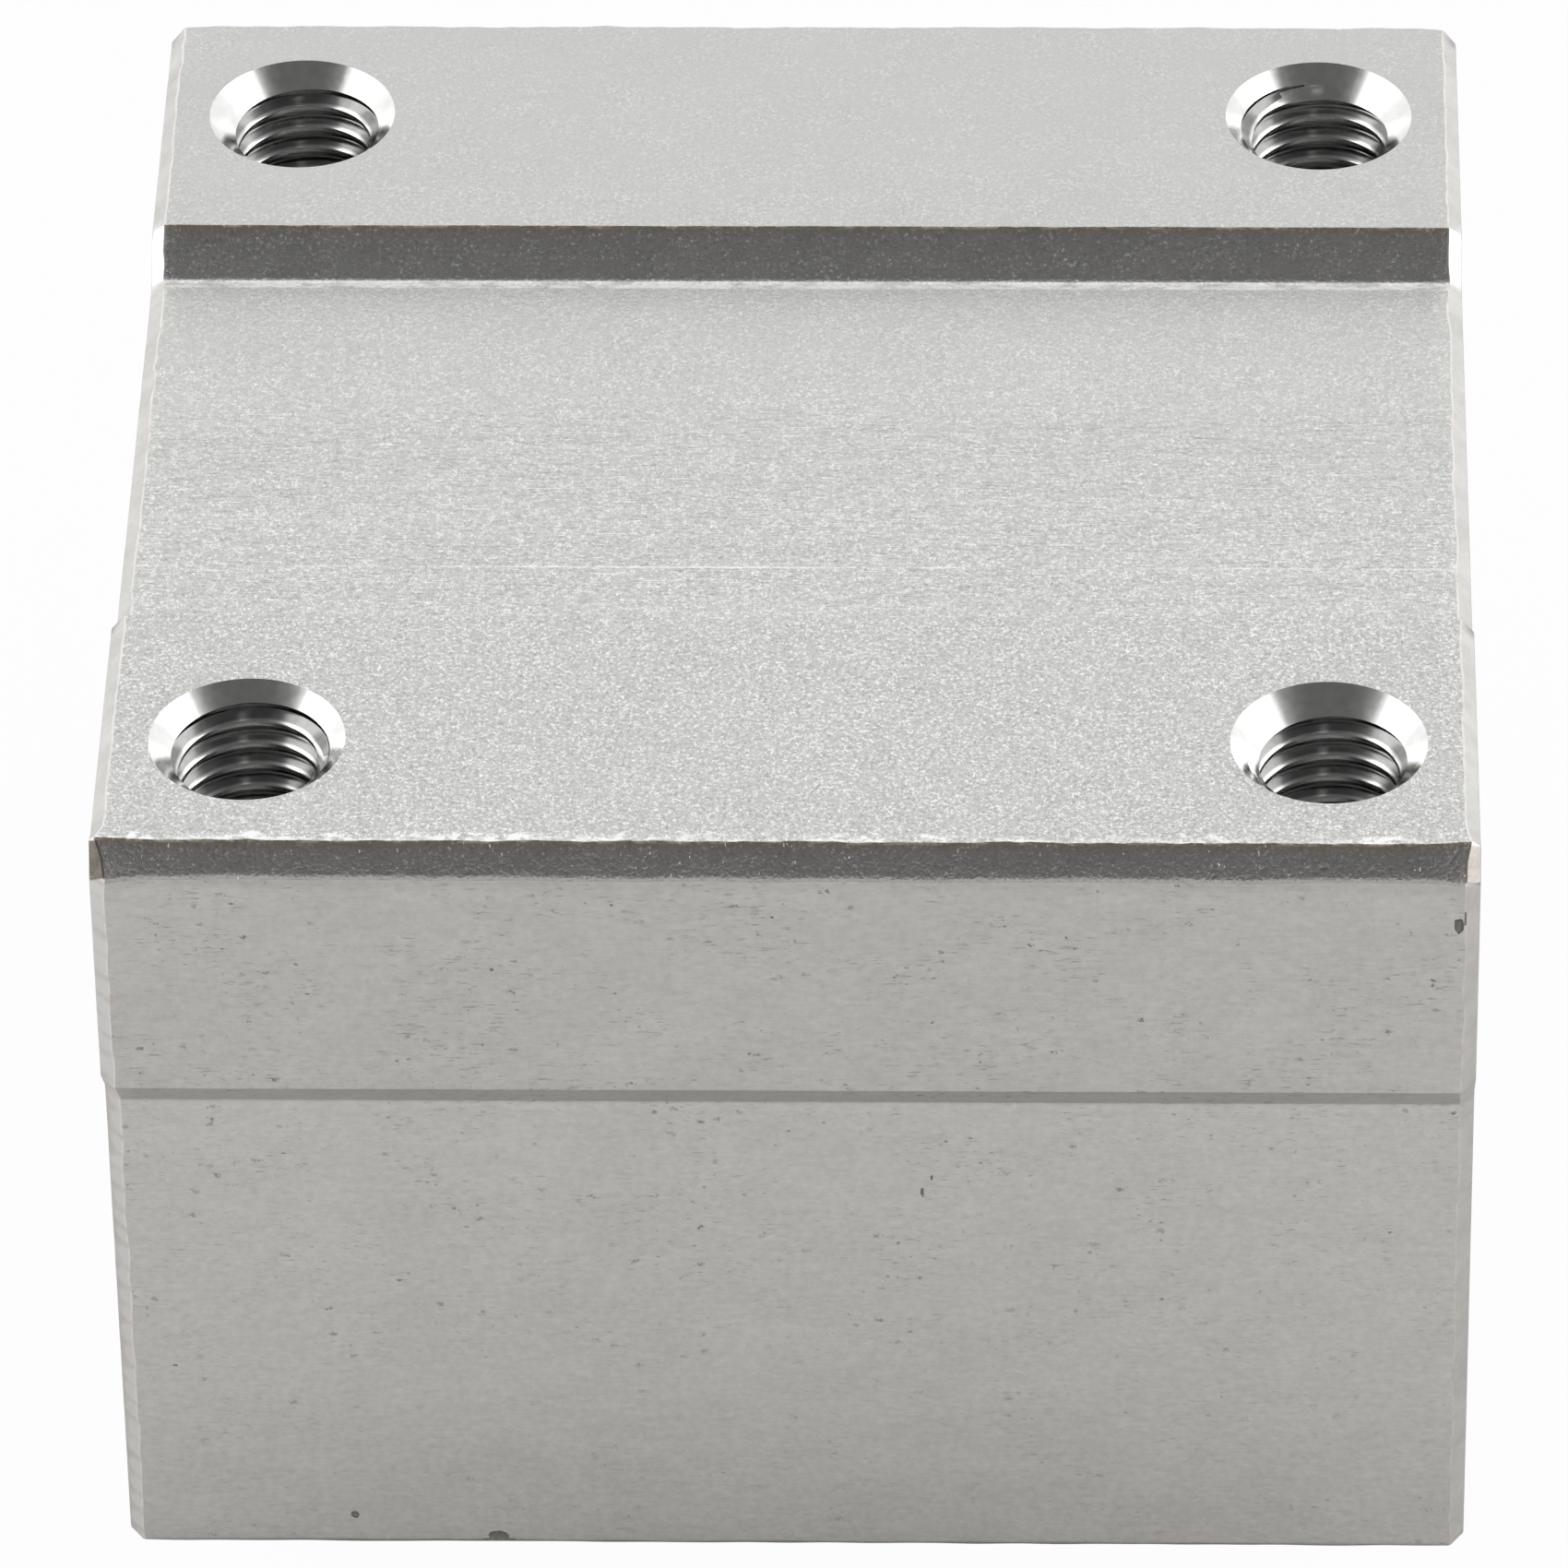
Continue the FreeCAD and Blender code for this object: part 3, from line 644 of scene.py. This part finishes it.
def drawn_side():
    """Extruded and anodised side, smoother, with pits and short marks along the drawing direction, and painted shade
    on the step, under the chamfer, towards the bottom and along the foot.
    """
    made, g = new_material("anodised_drawn")
    p = g.place()
    _, _, z = g.parts(p)
    grain = g.noise(p, 0.24, 3, 0.65, stretch=(1.4, 1, 1))
    blotch = g.noise(p, 2.0, 4, 0.6, stretch=(2.0, 1, 1), shift=4)
    streak = g.noise(p, 0.1, 2, 0.6, stretch=(9, 1, 1), shift=8)
    zone = g.ramp(g.noise(p, 2.6, 3, 0.65, shift=21), 0.42, 0.62)
    ragged = g.about(g.noise(p, 0.12, 2, 0.6, shift=17))
    pits = []
    for size, share in ((0.55, 0.45), (0.3, 0.62)):
        speck = g.cells(p, size, stretch=(1.5, 1, 1))
        chosen = g.ramp(g.parts(speck.outputs["Color"])[0], share, 1.0)
        uneven = g.sum(speck.outputs["Distance"], (ragged, 0.9))
        pits.append(g.times(g.ramp(uneven, 0.22, 0.06), chosen))
    handled = g.ramp(z, -9.0, 5.0, 0.45, 1.0)
    pit = g.times(g.math("MAXIMUM", *pits), g.sum(0.15, (zone, 0.85)), handled)
    mark = g.ramp(g.noise(p, 0.085, 2, 0.6, stretch=(7, 1, 1), shift=13), 0.58, 0.7)
    scratch = g.times(mark, zone, handled)
    # step darkens the slanted step under the flange: painted shade under the overhang.
    step = g.times(g.ramp(z, SIDE_TOP_Z - 0.09, SIDE_TOP_Z + 0.11), g.ramp(z, STEP_Z + 0.06, STEP_Z - 0.1))
    # foot darkens the lowest edge of the side: painted shade near the floor.
    foot = g.ramp(z, SIDE_FOOT_Z + 0.2, SIDE_FOOT_Z - 0.25)
    under = g.band(z, SIDE_TOP_Z - 0.39, SIDE_TOP_Z - 0.19, 0.1)
    below_step = g.ramp(z, SIDE_TOP_Z + 0.26, SIDE_TOP_Z - 0.14)
    # low darkens the side towards the bottom: painted shade from the floor near the block.
    low = g.ramp(z, -4.0, SIDE_FOOT_Z)
    # lip darkens the top of the flange's side under the chamfer: painted shade carried down from the rounded edge.
    lip = g.ramp(z, CHAMFER_Z - 0.8, CHAMFER_Z - 0.1)
    level = g.sum(0.73, (g.about(blotch), 0.12), (g.about(streak), 0.12), (g.about(grain), 0.26),
                  (pit, -0.45), (scratch, -0.26), (step, -0.125), (foot, -0.26),
                  (under, 0.03), (below_step, 0.045), (low, -0.06), (lip, -0.08))
    height = g.sum(0.0, (grain, 0.3), (streak, 0.4), (pit, -1.0), (scratch, -0.5))
    rough = g.sum(0.38, (g.about(blotch), 0.12))
    g.surface(base_color=g.tint(level, 1.0, 0.985, 0.955), metallic=1.0, roughness=rough,
              normal=g.bump(height, 0.012, 0.8))
    return made


def dressed_edge():
    """Long chamfers: grained like the top, darker, with brown bloom and a bright line along the upper edge, partly
    bare metal and partly painted highlight.
    """
    made, g = new_material("anodised_chamfer")
    p = g.place()
    _, y, z = g.parts(p)
    near = g.ramp(y, 5.0, 4.0)
    far = g.ramp(y, 4.0, 5.0)
    fleck = g.noise(p, 0.16, 1, 0.5)
    fine = g.noise(p, 0.08, 1, 0.5, shift=5)
    cloud = g.noise(p, 1.4, 3, 0.6, shift=9)
    bright = g.times(g.ramp(fleck, 0.52, 0.7), g.ramp(fine, 0.45, 0.62))
    dark = g.ramp(fleck, 0.44, 0.3)
    slanted = g.add("ShaderNodeVectorRotate", {"Vector": p, "Axis": (0, 0.7, 0.7), "Angle": 0.5}).outputs[0]
    glint = g.times(g.ramp(g.noise(slanted, 0.07, 1, 0.5, stretch=(1, 4, 4), shift=17), 0.72, 0.78),
                    g.ramp(g.noise(p, 1.1, 2, 0.5, shift=19), 0.52, 0.6), near)
    soft_foot = g.math("MAXIMUM", g.ramp(z, CHAMFER_Z + 0.02, CHAMFER_Z + 0.3), far)
    uneven = g.sum(0.5, (g.about(g.noise(p, 0.8, 3, 0.6, shift=29)), 4.5))
    inner = g.times(far, g.ramp(z, MOUNT_Z - 0.4, MOUNT_Z - 1.4))
    upper = g.ramp(z, MOUNT_Z - 0.38, MOUNT_Z - 0.02)
    torn = g.ramp(g.noise(p, 0.3, 2, 0.6, stretch=(2.4, 1, 1), shift=6), 0.46, 0.6)
    # A bright torn line along the upper edges: partly bare metal, partly painted highlight.
    bare_metal_and_highlight = g.times(g.ramp(z, MOUNT_Z - 0.1, MOUNT_Z - 0.03), torn)
    level = g.sum(0.5, (g.times(bright, soft_foot, uneven), g.ramp(y, 5.0, 4.0, 0.6, 0.42)), (dark, -0.08),
                  (g.about(cloud), 0.14), (glint, 0.5), (bare_metal_and_highlight, 0.5), (inner, 0.05))
    colour = g.mix(g.times(upper, 0.75), g.tint(level, 1.0, 0.985, 0.965), g.tint(level, 0.98, 0.83, 0.66))
    height = g.sum(0.0, (fleck, 1.0), (fine, 0.5), (glint, -1.5))
    g.surface(base_color=colour, metallic=1.0, roughness=0.38, normal=g.bump(height, 0.03, 0.9))
    return made


def filed_bevel():
    """Bright cut bevels at the ends, with a brown trace of the old skin along their inner edge."""
    made, g = new_material("cut_bevel")
    p = g.place()
    x, y, z = g.parts(p)
    grain = g.noise(p, 0.22, 2, 0.6, shift=2)
    cloud = g.noise(p, 0.9, 2, 0.5, stretch=(3, 1, 1), shift=6)
    inner_edge = g.ramp(g.math("ABSOLUTE", x), BLOCK_END - 0.44, BLOCK_END - 0.6)
    stain = g.times(inner_edge, g.ramp(g.noise(p, 0.5, 2, 0.6, shift=12), 0.5, 0.66))
    # left_side lifts the near side of the left bevel: painted light; it also bounds the left bevel's chatter marks.
    left_side = g.times(g.ramp(x, 0, -1), g.ramp(z, CHAMFER_Z - 0.2, CHAMFER_Z - 0.8), g.ramp(y, -25.0, -25.5))
    along = g.math("ADD", g.math("MULTIPLY", y, -1), g.math("MULTIPLY", z, -1))
    out = g.math("SUBTRACT", z, y)
    on_chamfer = g.band(along, TOP_EDGE_Y - MOUNT_Z + 0.1, FLANGE_Y - CHAMFER_Z - 0.05, 0.15)
    outermost = g.ramp(out, MOUNT_Z + TOP_EDGE_Y - 1.2, MOUNT_Z + TOP_EDGE_Y - 0.9)
    corner = g.times(on_chamfer, outermost, g.ramp(x, 1, -1, 0.5, 1.0))
    beat = g.sum(g.math("MULTIPLY", z, 2 * math.pi / BEVEL_CUTS[-1][0]), (g.noise(p, 3.0, 2, 0.6, shift=41), 9.0))
    chatter = g.times(g.math("SINE", beat), left_side)
    level = g.sum(0.84, (g.about(cloud), 0.24), (g.about(grain), 0.16), (left_side, 0.22), (corner, -0.62),
                  (chatter, 0.13))
    stain = g.math("MAXIMUM", stain, g.times(corner, 0.8))
    colour = g.mix(g.times(stain, 0.6), g.tint(level, 1.0, 0.985, 0.955), g.tint(level, 0.86, 0.68, 0.5))
    height = g.sum(grain, (cloud, 0.8))
    g.surface(base_color=colour, metallic=1.0, roughness=0.34, normal=g.bump(height, 0.012, 0.6))
    return made


# The middle of the face mill's path, seen along the shaft
MILL_CENTRE = (0, 9.0, -95.0)

def milled_end():
    """End faces, with the arcs of the face mill."""
    made, g = new_material("milled_end")
    p = g.place()
    centre = g.vector("MULTIPLY", g.vector("SUBTRACT", p, MILL_CENTRE), (0, 1, 1))
    distance = g.vector("LENGTH", centre)
    arcs, feed = g.lines(distance, 0.35, 3), g.lines(distance, 0.07)
    grain = g.noise(p, 0.15, 2, 0.5)
    cloud = g.noise(p, 5.0, 3, 0.6)
    level = g.sum(0.6, (g.about(arcs), 0.16), (g.about(grain), 0.06), (g.about(cloud), 0.06))
    height = g.sum(0.0, (arcs, 0.6), (feed, 0.7))
    g.surface(base_color=g.tint(level, 1.0, 0.995, 0.98), metallic=1.0,
              roughness=g.ramp(arcs, 0.3, 0.7, 0.3, 0.42), normal=g.bump(height, 0.02, 0.8))
    return made


def turned_hole(name, brightness, roughness, crest_highlight=0.0):
    """Freshly cut countersinks and threads; the tool's fine rings pull the light down the cone. The threads' copy is
    made dark as painted shade in the holes, and its crests are brightened as a painted highlight.
    """
    made, g = new_material(name)
    p = g.place()
    x, y, z = g.parts(p)
    side_x, side_y = g.math("SIGN", x), g.math("SIGN", y)
    across = g.math("SUBTRACT", g.times(side_y, HOLE_Y), y)
    forward = g.math("SUBTRACT", x, g.times(side_x, HOLE_X))
    round_hole = g.add("ShaderNodeCombineXYZ", {0: across, 1: forward, 2: 0.0}).outputs[0]
    grain = g.noise(p, 0.4, 2, 0.5)
    rings = g.lines(z, 0.06)
    reach = g.vector("LENGTH", round_hole)
    # The crests are brightened: painted highlight.
    level = g.sum(brightness, (g.about(grain), 0.16), (g.ramp(reach, DRILL_R + 0.16, DRILL_R + 0.03), crest_highlight))
    g.surface(base_color=g.tint(level, 1.0, 0.995, 0.98), metallic=1.0,
              roughness=g.sum(roughness, (g.about(grain), 0.1)), anisotropic=0.4,
              tangent=g.vector("NORMALIZE", round_hole), normal=g.bump(rings, 0.0015, 0.6))
    return made


def honed_bore():
    """The bored wall round the bushing and its grooves."""
    made, g = new_material("bored_wall")
    x, _, _ = g.parts(g.place())
    rings = g.lines(x, 0.11, 3)
    g.surface(base_color=g.tint(g.ramp(rings, 0.3, 0.7, 0.62, 0.76), 1.0, 0.995, 0.98), metallic=1.0,
              roughness=g.ramp(rings, 0.3, 0.7, 0.2, 0.32), normal=g.bump(rings, 0.01, 0.7))
    return made


def ground_steel():
    """Hardened sleeve and snap rings, ground round and lightly oiled."""
    made, g = new_material("ground_steel")
    p = g.place()
    x, _, _ = g.parts(p)
    rings = g.lines(x, 0.06, 3)
    cloud = g.noise(p, 2.5, 3, 0.6)
    level = g.sum(0.56, (g.about(rings), 0.2), (g.about(cloud), 0.05))
    g.surface(base_color=g.tint(level, 0.985, 0.99, 1.0), metallic=1.0,
              roughness=g.sum(0.26, (g.about(cloud), 0.1)), normal=g.bump(rings, 0.006, 0.6))
    return made


def phosphated_steel():
    """Circlips: dark phosphated spring steel, matt and a little uneven."""
    made, g = new_material("phosphated_steel")
    p = g.place()
    grain = g.noise(p, 0.12, 3, 0.6)
    cloud = g.noise(p, 1.6, 3, 0.6, shift=4)
    rolled = g.lines(g.vector("LENGTH", g.vector("MULTIPLY", p, (0, 1, 1))), 0.2)
    level = g.sum(0.1, (g.about(grain), 0.05), (g.about(cloud), 0.04), (g.about(rolled), 0.03))
    height = g.sum(0.0, (grain, 1.0), (rolled, 0.6))
    g.surface(base_color=g.tint(level, 1.0, 0.98, 0.95), metallic=0.8,
              roughness=g.sum(0.42, (g.about(grain), 0.2)), normal=g.bump(height, 0.01, 0.7))
    return made


def seal_rubber():
    """Lip seals: black nitrile rubber with faint mould rings and dust."""
    made, g = new_material("seal_rubber")
    p = g.place()
    distance = g.vector("LENGTH", g.vector("MULTIPLY", p, (0, 1, 1)))
    rings = g.lines(distance, 0.11)
    grain = g.noise(p, 0.1, 2, 0.6)
    dust = g.ramp(g.noise(p, 1.2, 4, 0.7, shift=3), 0.5, 0.8)
    level = g.math("ADD", 0.022, g.math("MULTIPLY", dust, 0.02))
    height = g.math("ADD", g.math("MULTIPLY", grain, 0.5), g.math("MULTIPLY", rings, 0.5))
    g.surface(base_color=g.neutral(level), roughness=g.ramp(grain, 0.3, 0.7, 0.48, 0.62),
              normal=g.bump(height, 0.012, 0.7), specular_ior_level=0.4)
    return made


def cage_resin():
    """The retainer: dark moulded resin."""
    made, g = new_material("cage_resin")
    p = g.place()
    grain = g.noise(p, 0.16, 2, 0.6)
    cloud = g.noise(p, 2.0, 3, 0.6, shift=7)
    level = g.ramp(cloud, 0.3, 0.7, 0.035, 0.055)
    g.surface(base_color=g.neutral(level, 1.08), roughness=g.ramp(grain, 0.3, 0.7, 0.3, 0.42),
              normal=g.bump(grain, 0.01, 0.5))
    return made


def ball_steel():
    """Polished ball steel with a faint haze."""
    made, g = new_material("ball_steel")
    p = g.place()
    haze = g.noise(p, 0.6, 3, 0.6)
    level = g.ramp(haze, 0.3, 0.7, 0.72, 0.8)
    g.surface(base_color=g.neutral(level, 1.02), metallic=1.0, roughness=g.ramp(haze, 0.3, 0.7, 0.06, 0.12))
    return made


def old_dent():
    """The dark torn metal inside a dent."""
    made, g = new_material("old_dent")
    grain = g.noise(g.place(), 0.12, 3, 0.6)
    g.surface(base_color=g.tint(g.sum(0.3, (g.about(grain), 0.3)), 1.0, 0.96, 0.9), metallic=0.9,
              roughness=g.sum(0.5, (g.about(grain), 0.3)), normal=g.bump(grain, 0.03, 0.8))
    return made


def in_dent(centres):
    """Which of the places, in millimetres, lie on the wall of a dent."""
    found = np.zeros(len(centres), dtype=bool)
    for place, size, turn in NICKS:
        back = np.array(Matrix.Rotation(math.radians(-turn), 3, "X"))
        reach = np.linalg.norm((centres - np.array(place)) @ back.T / np.array(size), axis=1)
        found |= reach < 1.3
    return found


def paint_block(block):
    """Gives every face of the block the finish of its place."""
    # The threads' copy of the cut finish is darkened: painted shade in the tapped holes.
    finishes = [satin_top(), drawn_side(), dressed_edge(), filed_bevel(), milled_end(), honed_bore(),
                turned_hole("cut_cone", 0.88, 0.2), turned_hole("cut_thread_shaded", 0.27, 0.16, 0.5), old_dent()]
    top, side, edge, bevel, end, bore, cone, thread, dent = range(len(finishes))
    mesh = block.data
    mesh.materials.clear()
    for finish in finishes:
        mesh.materials.append(finish)
    count = len(mesh.polygons)
    centres, normals = np.zeros(count * 3), np.zeros(count * 3)
    mesh.polygons.foreach_get("center", centres)
    mesh.polygons.foreach_get("normal", normals)
    (x, y, z), (nx, ny, nz) = centres.reshape(-1, 3).T / MM, normals.reshape(-1, 3).T
    reach = np.hypot(np.abs(x) - HOLE_X, np.abs(y) - HOLE_Y)
    turned = (reach < SINK_R - 0.002) & (np.abs(nz) < 0.98) & (np.abs(x) < BLOCK_END - 1)
    picked = np.full(count, side)
    picked[(nz > 0.92) & (z > STEP_Z)] = top
    picked[(nz > 0.2) & (nz <= 0.92) & (z > STEP_Z)] = edge
    picked[(np.abs(nx) > 0.2) & (np.abs(x) > BLOCK_END - BEVEL - 0.07)] = bevel
    picked[np.hypot(y, z) < GROOVE_R + 0.01] = bore
    at_end = np.abs(x) > BLOCK_END - 1e-4
    picked[at_end] = end
    picked[turned] = thread
    picked[turned & (np.abs(reach - SINK_R + MOUNT_Z - z) < 0.03)] = cone
    straight = np.max(np.abs(np.stack((nx, ny, nz))), axis=0) > 0.9995
    slanted = np.max(np.abs(np.stack((ny + nz, ny - nz))), axis=0) * math.sqrt(0.5) > 0.985
    flat = straight | slanted
    picked[in_dent(np.stack((x, y, z), axis=1)) & ~flat & ~at_end] = dent
    mesh.polygons.foreach_set("material_index", picked.astype(np.int32))
    mesh.update()


# ---------------------------------------------------------------- bushing

# Balls and their tracks, as in the CAD part
SHAFT_R = 10.0
BALL_R = 1.5875
LOAD_R = SHAFT_R + BALL_R
ROW_SPACING = 5.319
TURN_X = 12.2
CIRCUITS = 5
BALLS = 19


def track_point(distance):
    """Where a circuit's centre line is after a distance, in the plane of the first circuit."""
    straight, turn = 2 * TURN_X, math.pi * ROW_SPACING / 2
    along, side = (distance, -1) if distance < straight + turn else (distance - straight - turn, 1)
    if along < straight:
        x, y = along - TURN_X, side * ROW_SPACING / 2
    else:
        angle = (along - straight) / (ROW_SPACING / 2) - math.pi / 2
        x = TURN_X + ROW_SPACING / 2 * math.cos(angle)
        y = ROW_SPACING / 2 * math.sin(angle) * -side
    return Vector((-x if side > 0 else x, y + ROW_SPACING / 2, LOAD_R))


def build_balls(number, material):
    """The balls of one circuit as round spheres."""
    work = bmesh.new()
    length = 4 * TURN_X + math.pi * ROW_SPACING
    turn = Matrix.Rotation(math.radians(360 / CIRCUITS * number), 4, "X")
    for step in range(BALLS):
        place = turn @ track_point(step * length / BALLS)
        move = Matrix.Translation(place * MM)
        bmesh.ops.create_icosphere(work, subdivisions=4, radius=BALL_R * MM, matrix=move)
    mesh = bpy.data.meshes.new(f"balls_{number + 1}")
    work.to_mesh(mesh)
    work.free()
    for polygon in mesh.polygons:
        polygon.use_smooth = True
    mesh.materials.append(material)
    return new_object(f"balls_{number + 1}", mesh)


def dress(thing, node):
    """Gives a new piece its body and hides the CAD node that it stands for."""
    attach(thing, "root")
    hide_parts(node)


def repaint(node, material):
    """Gives a CAD node that stays its finish, without touching its mesh."""
    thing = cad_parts[node]
    for place in thing.material_slots:
        place.link = "OBJECT"
        place.material = material


# ---------------------------------------------------------------- studio

FLOOR_Z = BOSS_Z - 0.03
FLOOR_SIZE = 3000.0
LENS = 299.8
CAMERA_AIM = (-0.81, 0.0, 3.22)
CAMERA_DISTANCE = 509.14
CAMERA_AZIMUTH = -1.887
CAMERA_ELEVATION = 38.187
CAMERA_ROLL = -0.976
SENSOR_WIDTH = 36.0
FLOOR_GLOW = 0.97


def place_camera():
    """The camera, at its distance from the point that it looks at."""
    azimuth, elevation, roll = (math.radians(a) for a in (CAMERA_AZIMUTH, CAMERA_ELEVATION, CAMERA_ROLL))
    flat = math.cos(elevation)
    forward = Vector((math.sin(azimuth) * flat, math.cos(azimuth) * flat, -math.sin(elevation)))
    level_right = Vector((math.cos(azimuth), -math.sin(azimuth), 0))
    level_up = level_right.cross(forward)
    right = level_right * math.cos(roll) + level_up * math.sin(roll)
    up = -level_right * math.sin(roll) + level_up * math.cos(roll)
    data = bpy.data.cameras.new("camera")
    data.lens = LENS
    data.sensor_width = SENSOR_WIDTH
    data.clip_start = 0.01
    data.clip_end = 20.0
    camera = new_object("camera", data)
    turn = Matrix((right, up, -forward)).transposed().to_4x4()
    camera.matrix_world = Matrix.Translation((Vector(CAMERA_AIM) - forward * CAMERA_DISTANCE) * MM) @ turn
    bpy.context.scene.camera = camera


def build_floor():
    """A pale paper floor, just under the boss, that shows white to the camera."""
    half = FLOOR_SIZE / 2
    corners = [(sx * half, sy * half, FLOOR_Z) for sx, sy in ((-1, -1), (1, -1), (1, 1), (-1, 1))]
    floor = new_object("floor", mesh_of("floor", xyz(corners), [(0, 1, 2, 3)]))
    made, g = new_material("pale_paper")
    p = g.place()
    fibre = g.noise(p, 0.8, 3, 0.6)
    tone = g.mix(fibre, (0.73, 0.72, 0.71, 1), (0.75, 0.74, 0.73, 1))
    paper = g.add("ShaderNodeBsdfDiffuse", {"Color": tone, "Roughness": 0.8})
    glow = g.add("ShaderNodeEmission", {"Color": (1, 1, 1, 1), "Strength": 1.0})
    seen = g.add("ShaderNodeLightPath").outputs["Is Camera Ray"]
    share = g.math("MULTIPLY", seen, FLOOR_GLOW)
    both = g.add("ShaderNodeMixShader", {0: share, 1: paper.outputs[0], 2: glow.outputs[0]})
    g.add("ShaderNodeOutputMaterial", {"Surface": both.outputs[0]})
    floor.data.materials.append(made)


# What metal mirrors of the studio: white walls, a dark ceiling on the camera's side and a small bright spot in it.
# Elevations and half-angles are in degrees.
DARK_ELEVATION = 60.0
DARK_INNER = 12.0
DARK_OUTER = 54.0
DARK_DEPTH = 0.9
DARK_WIDENING = (0.6, 1, 1)
SPOT_ELEVATION = 66.0
SPOT_ANGLE = 4.0
SPOT_CORE = 0.6
SPOT_GAIN = 0.4
WORLD_FILL = 0.7

def camera_side(elevation):
    """The direction at this elevation above the camera's side of the floor."""
    return (0, -math.cos(math.radians(elevation)), math.sin(math.radians(elevation)))

def light_world():
    """An even fill for matt light, the studio for mirrored light and white for the camera."""
    world = bpy.data.worlds.new("studio")
    bpy.context.scene.world = world
    g = Graph(world)
    towards = g.add("ShaderNodeTexCoord").outputs["Generated"]
    widened = g.vector("NORMALIZE", g.vector("MULTIPLY", towards, DARK_WIDENING))
    facing = g.vector("DOT_PRODUCT", widened, camera_side(DARK_ELEVATION))
    dark = g.ramp(facing, math.cos(math.radians(DARK_OUTER)), math.cos(math.radians(DARK_INNER)))
    from_spot = g.vector("DOT_PRODUCT", towards, camera_side(SPOT_ELEVATION))
    spot = g.ramp(from_spot, math.cos(math.radians(SPOT_ANGLE)), math.cos(math.radians(SPOT_ANGLE * SPOT_CORE)))
    room = g.sum(1.0, (dark, -DARK_DEPTH), (spot, SPOT_GAIN))
    path = g.add("ShaderNodeLightPath")
    mirrored = g.math("MAXIMUM", path.outputs["Is Glossy Ray"], path.outputs["Is Transmission Ray"])
    strength = g.mix(mirrored, grey(WORLD_FILL), g.neutral(room))
    strength = g.mix(path.outputs["Is Camera Ray"], strength, grey(1))
    back = g.add("ShaderNodeBackground", {"Color": strength, "Strength": 1.0})
    g.add("ShaderNodeOutputWorld", {"Surface": back.outputs[0]})

def add_lamp(name, azimuth, elevation, distance, size, power):
    """A soft box that looks at the block. Azimuth 0 is the camera's side and 90 the right."""
    a, e = math.radians(azimuth), math.radians(elevation)
    away = Vector((math.sin(a) * math.cos(e), -math.cos(a) * math.cos(e), math.sin(e)))
    data = bpy.data.lights.new(name, "AREA")
    data.shape = "RECTANGLE"
    data.size, data.size_y = size[0] * MM, size[1] * MM
    data.energy = power
    lamp = new_object(name, data)
    lamp.location = away * distance * MM
    lamp.rotation_euler = away.to_track_quat("Z", "Y").to_euler()


def light_studio():
    """A soft box on each side."""
    for name, azimuth in (("soft_box_left", -95), ("soft_box_right", 95)):
        add_lamp(name, azimuth, elevation=26, distance=420, size=(260, 400), power=0.4)


# ---------------------------------------------------------------- assembly

block = build_block()
paint_block(block)
smooth(block)
dress(block, "housing_block")

shine = ball_steel()
for number in range(CIRCUITS):
    dress(build_balls(number, shine), f"ball_circuit_{number + 1}")

steel = ground_steel()
repaint("bushing_sleeve", steel)
repaint("ball_cage", cage_resin())
rubber, spring = seal_rubber(), phosphated_steel()
for side in ("left", "right"):
    repaint(f"cage_ring_{side}", steel)
    repaint(f"end_seal_{side}", rubber)
    repaint(f"circlip_{side}", spring)

place_camera()
build_floor()
light_world()
light_studio()
bpy.context.scene.view_settings.view_transform = "Standard"
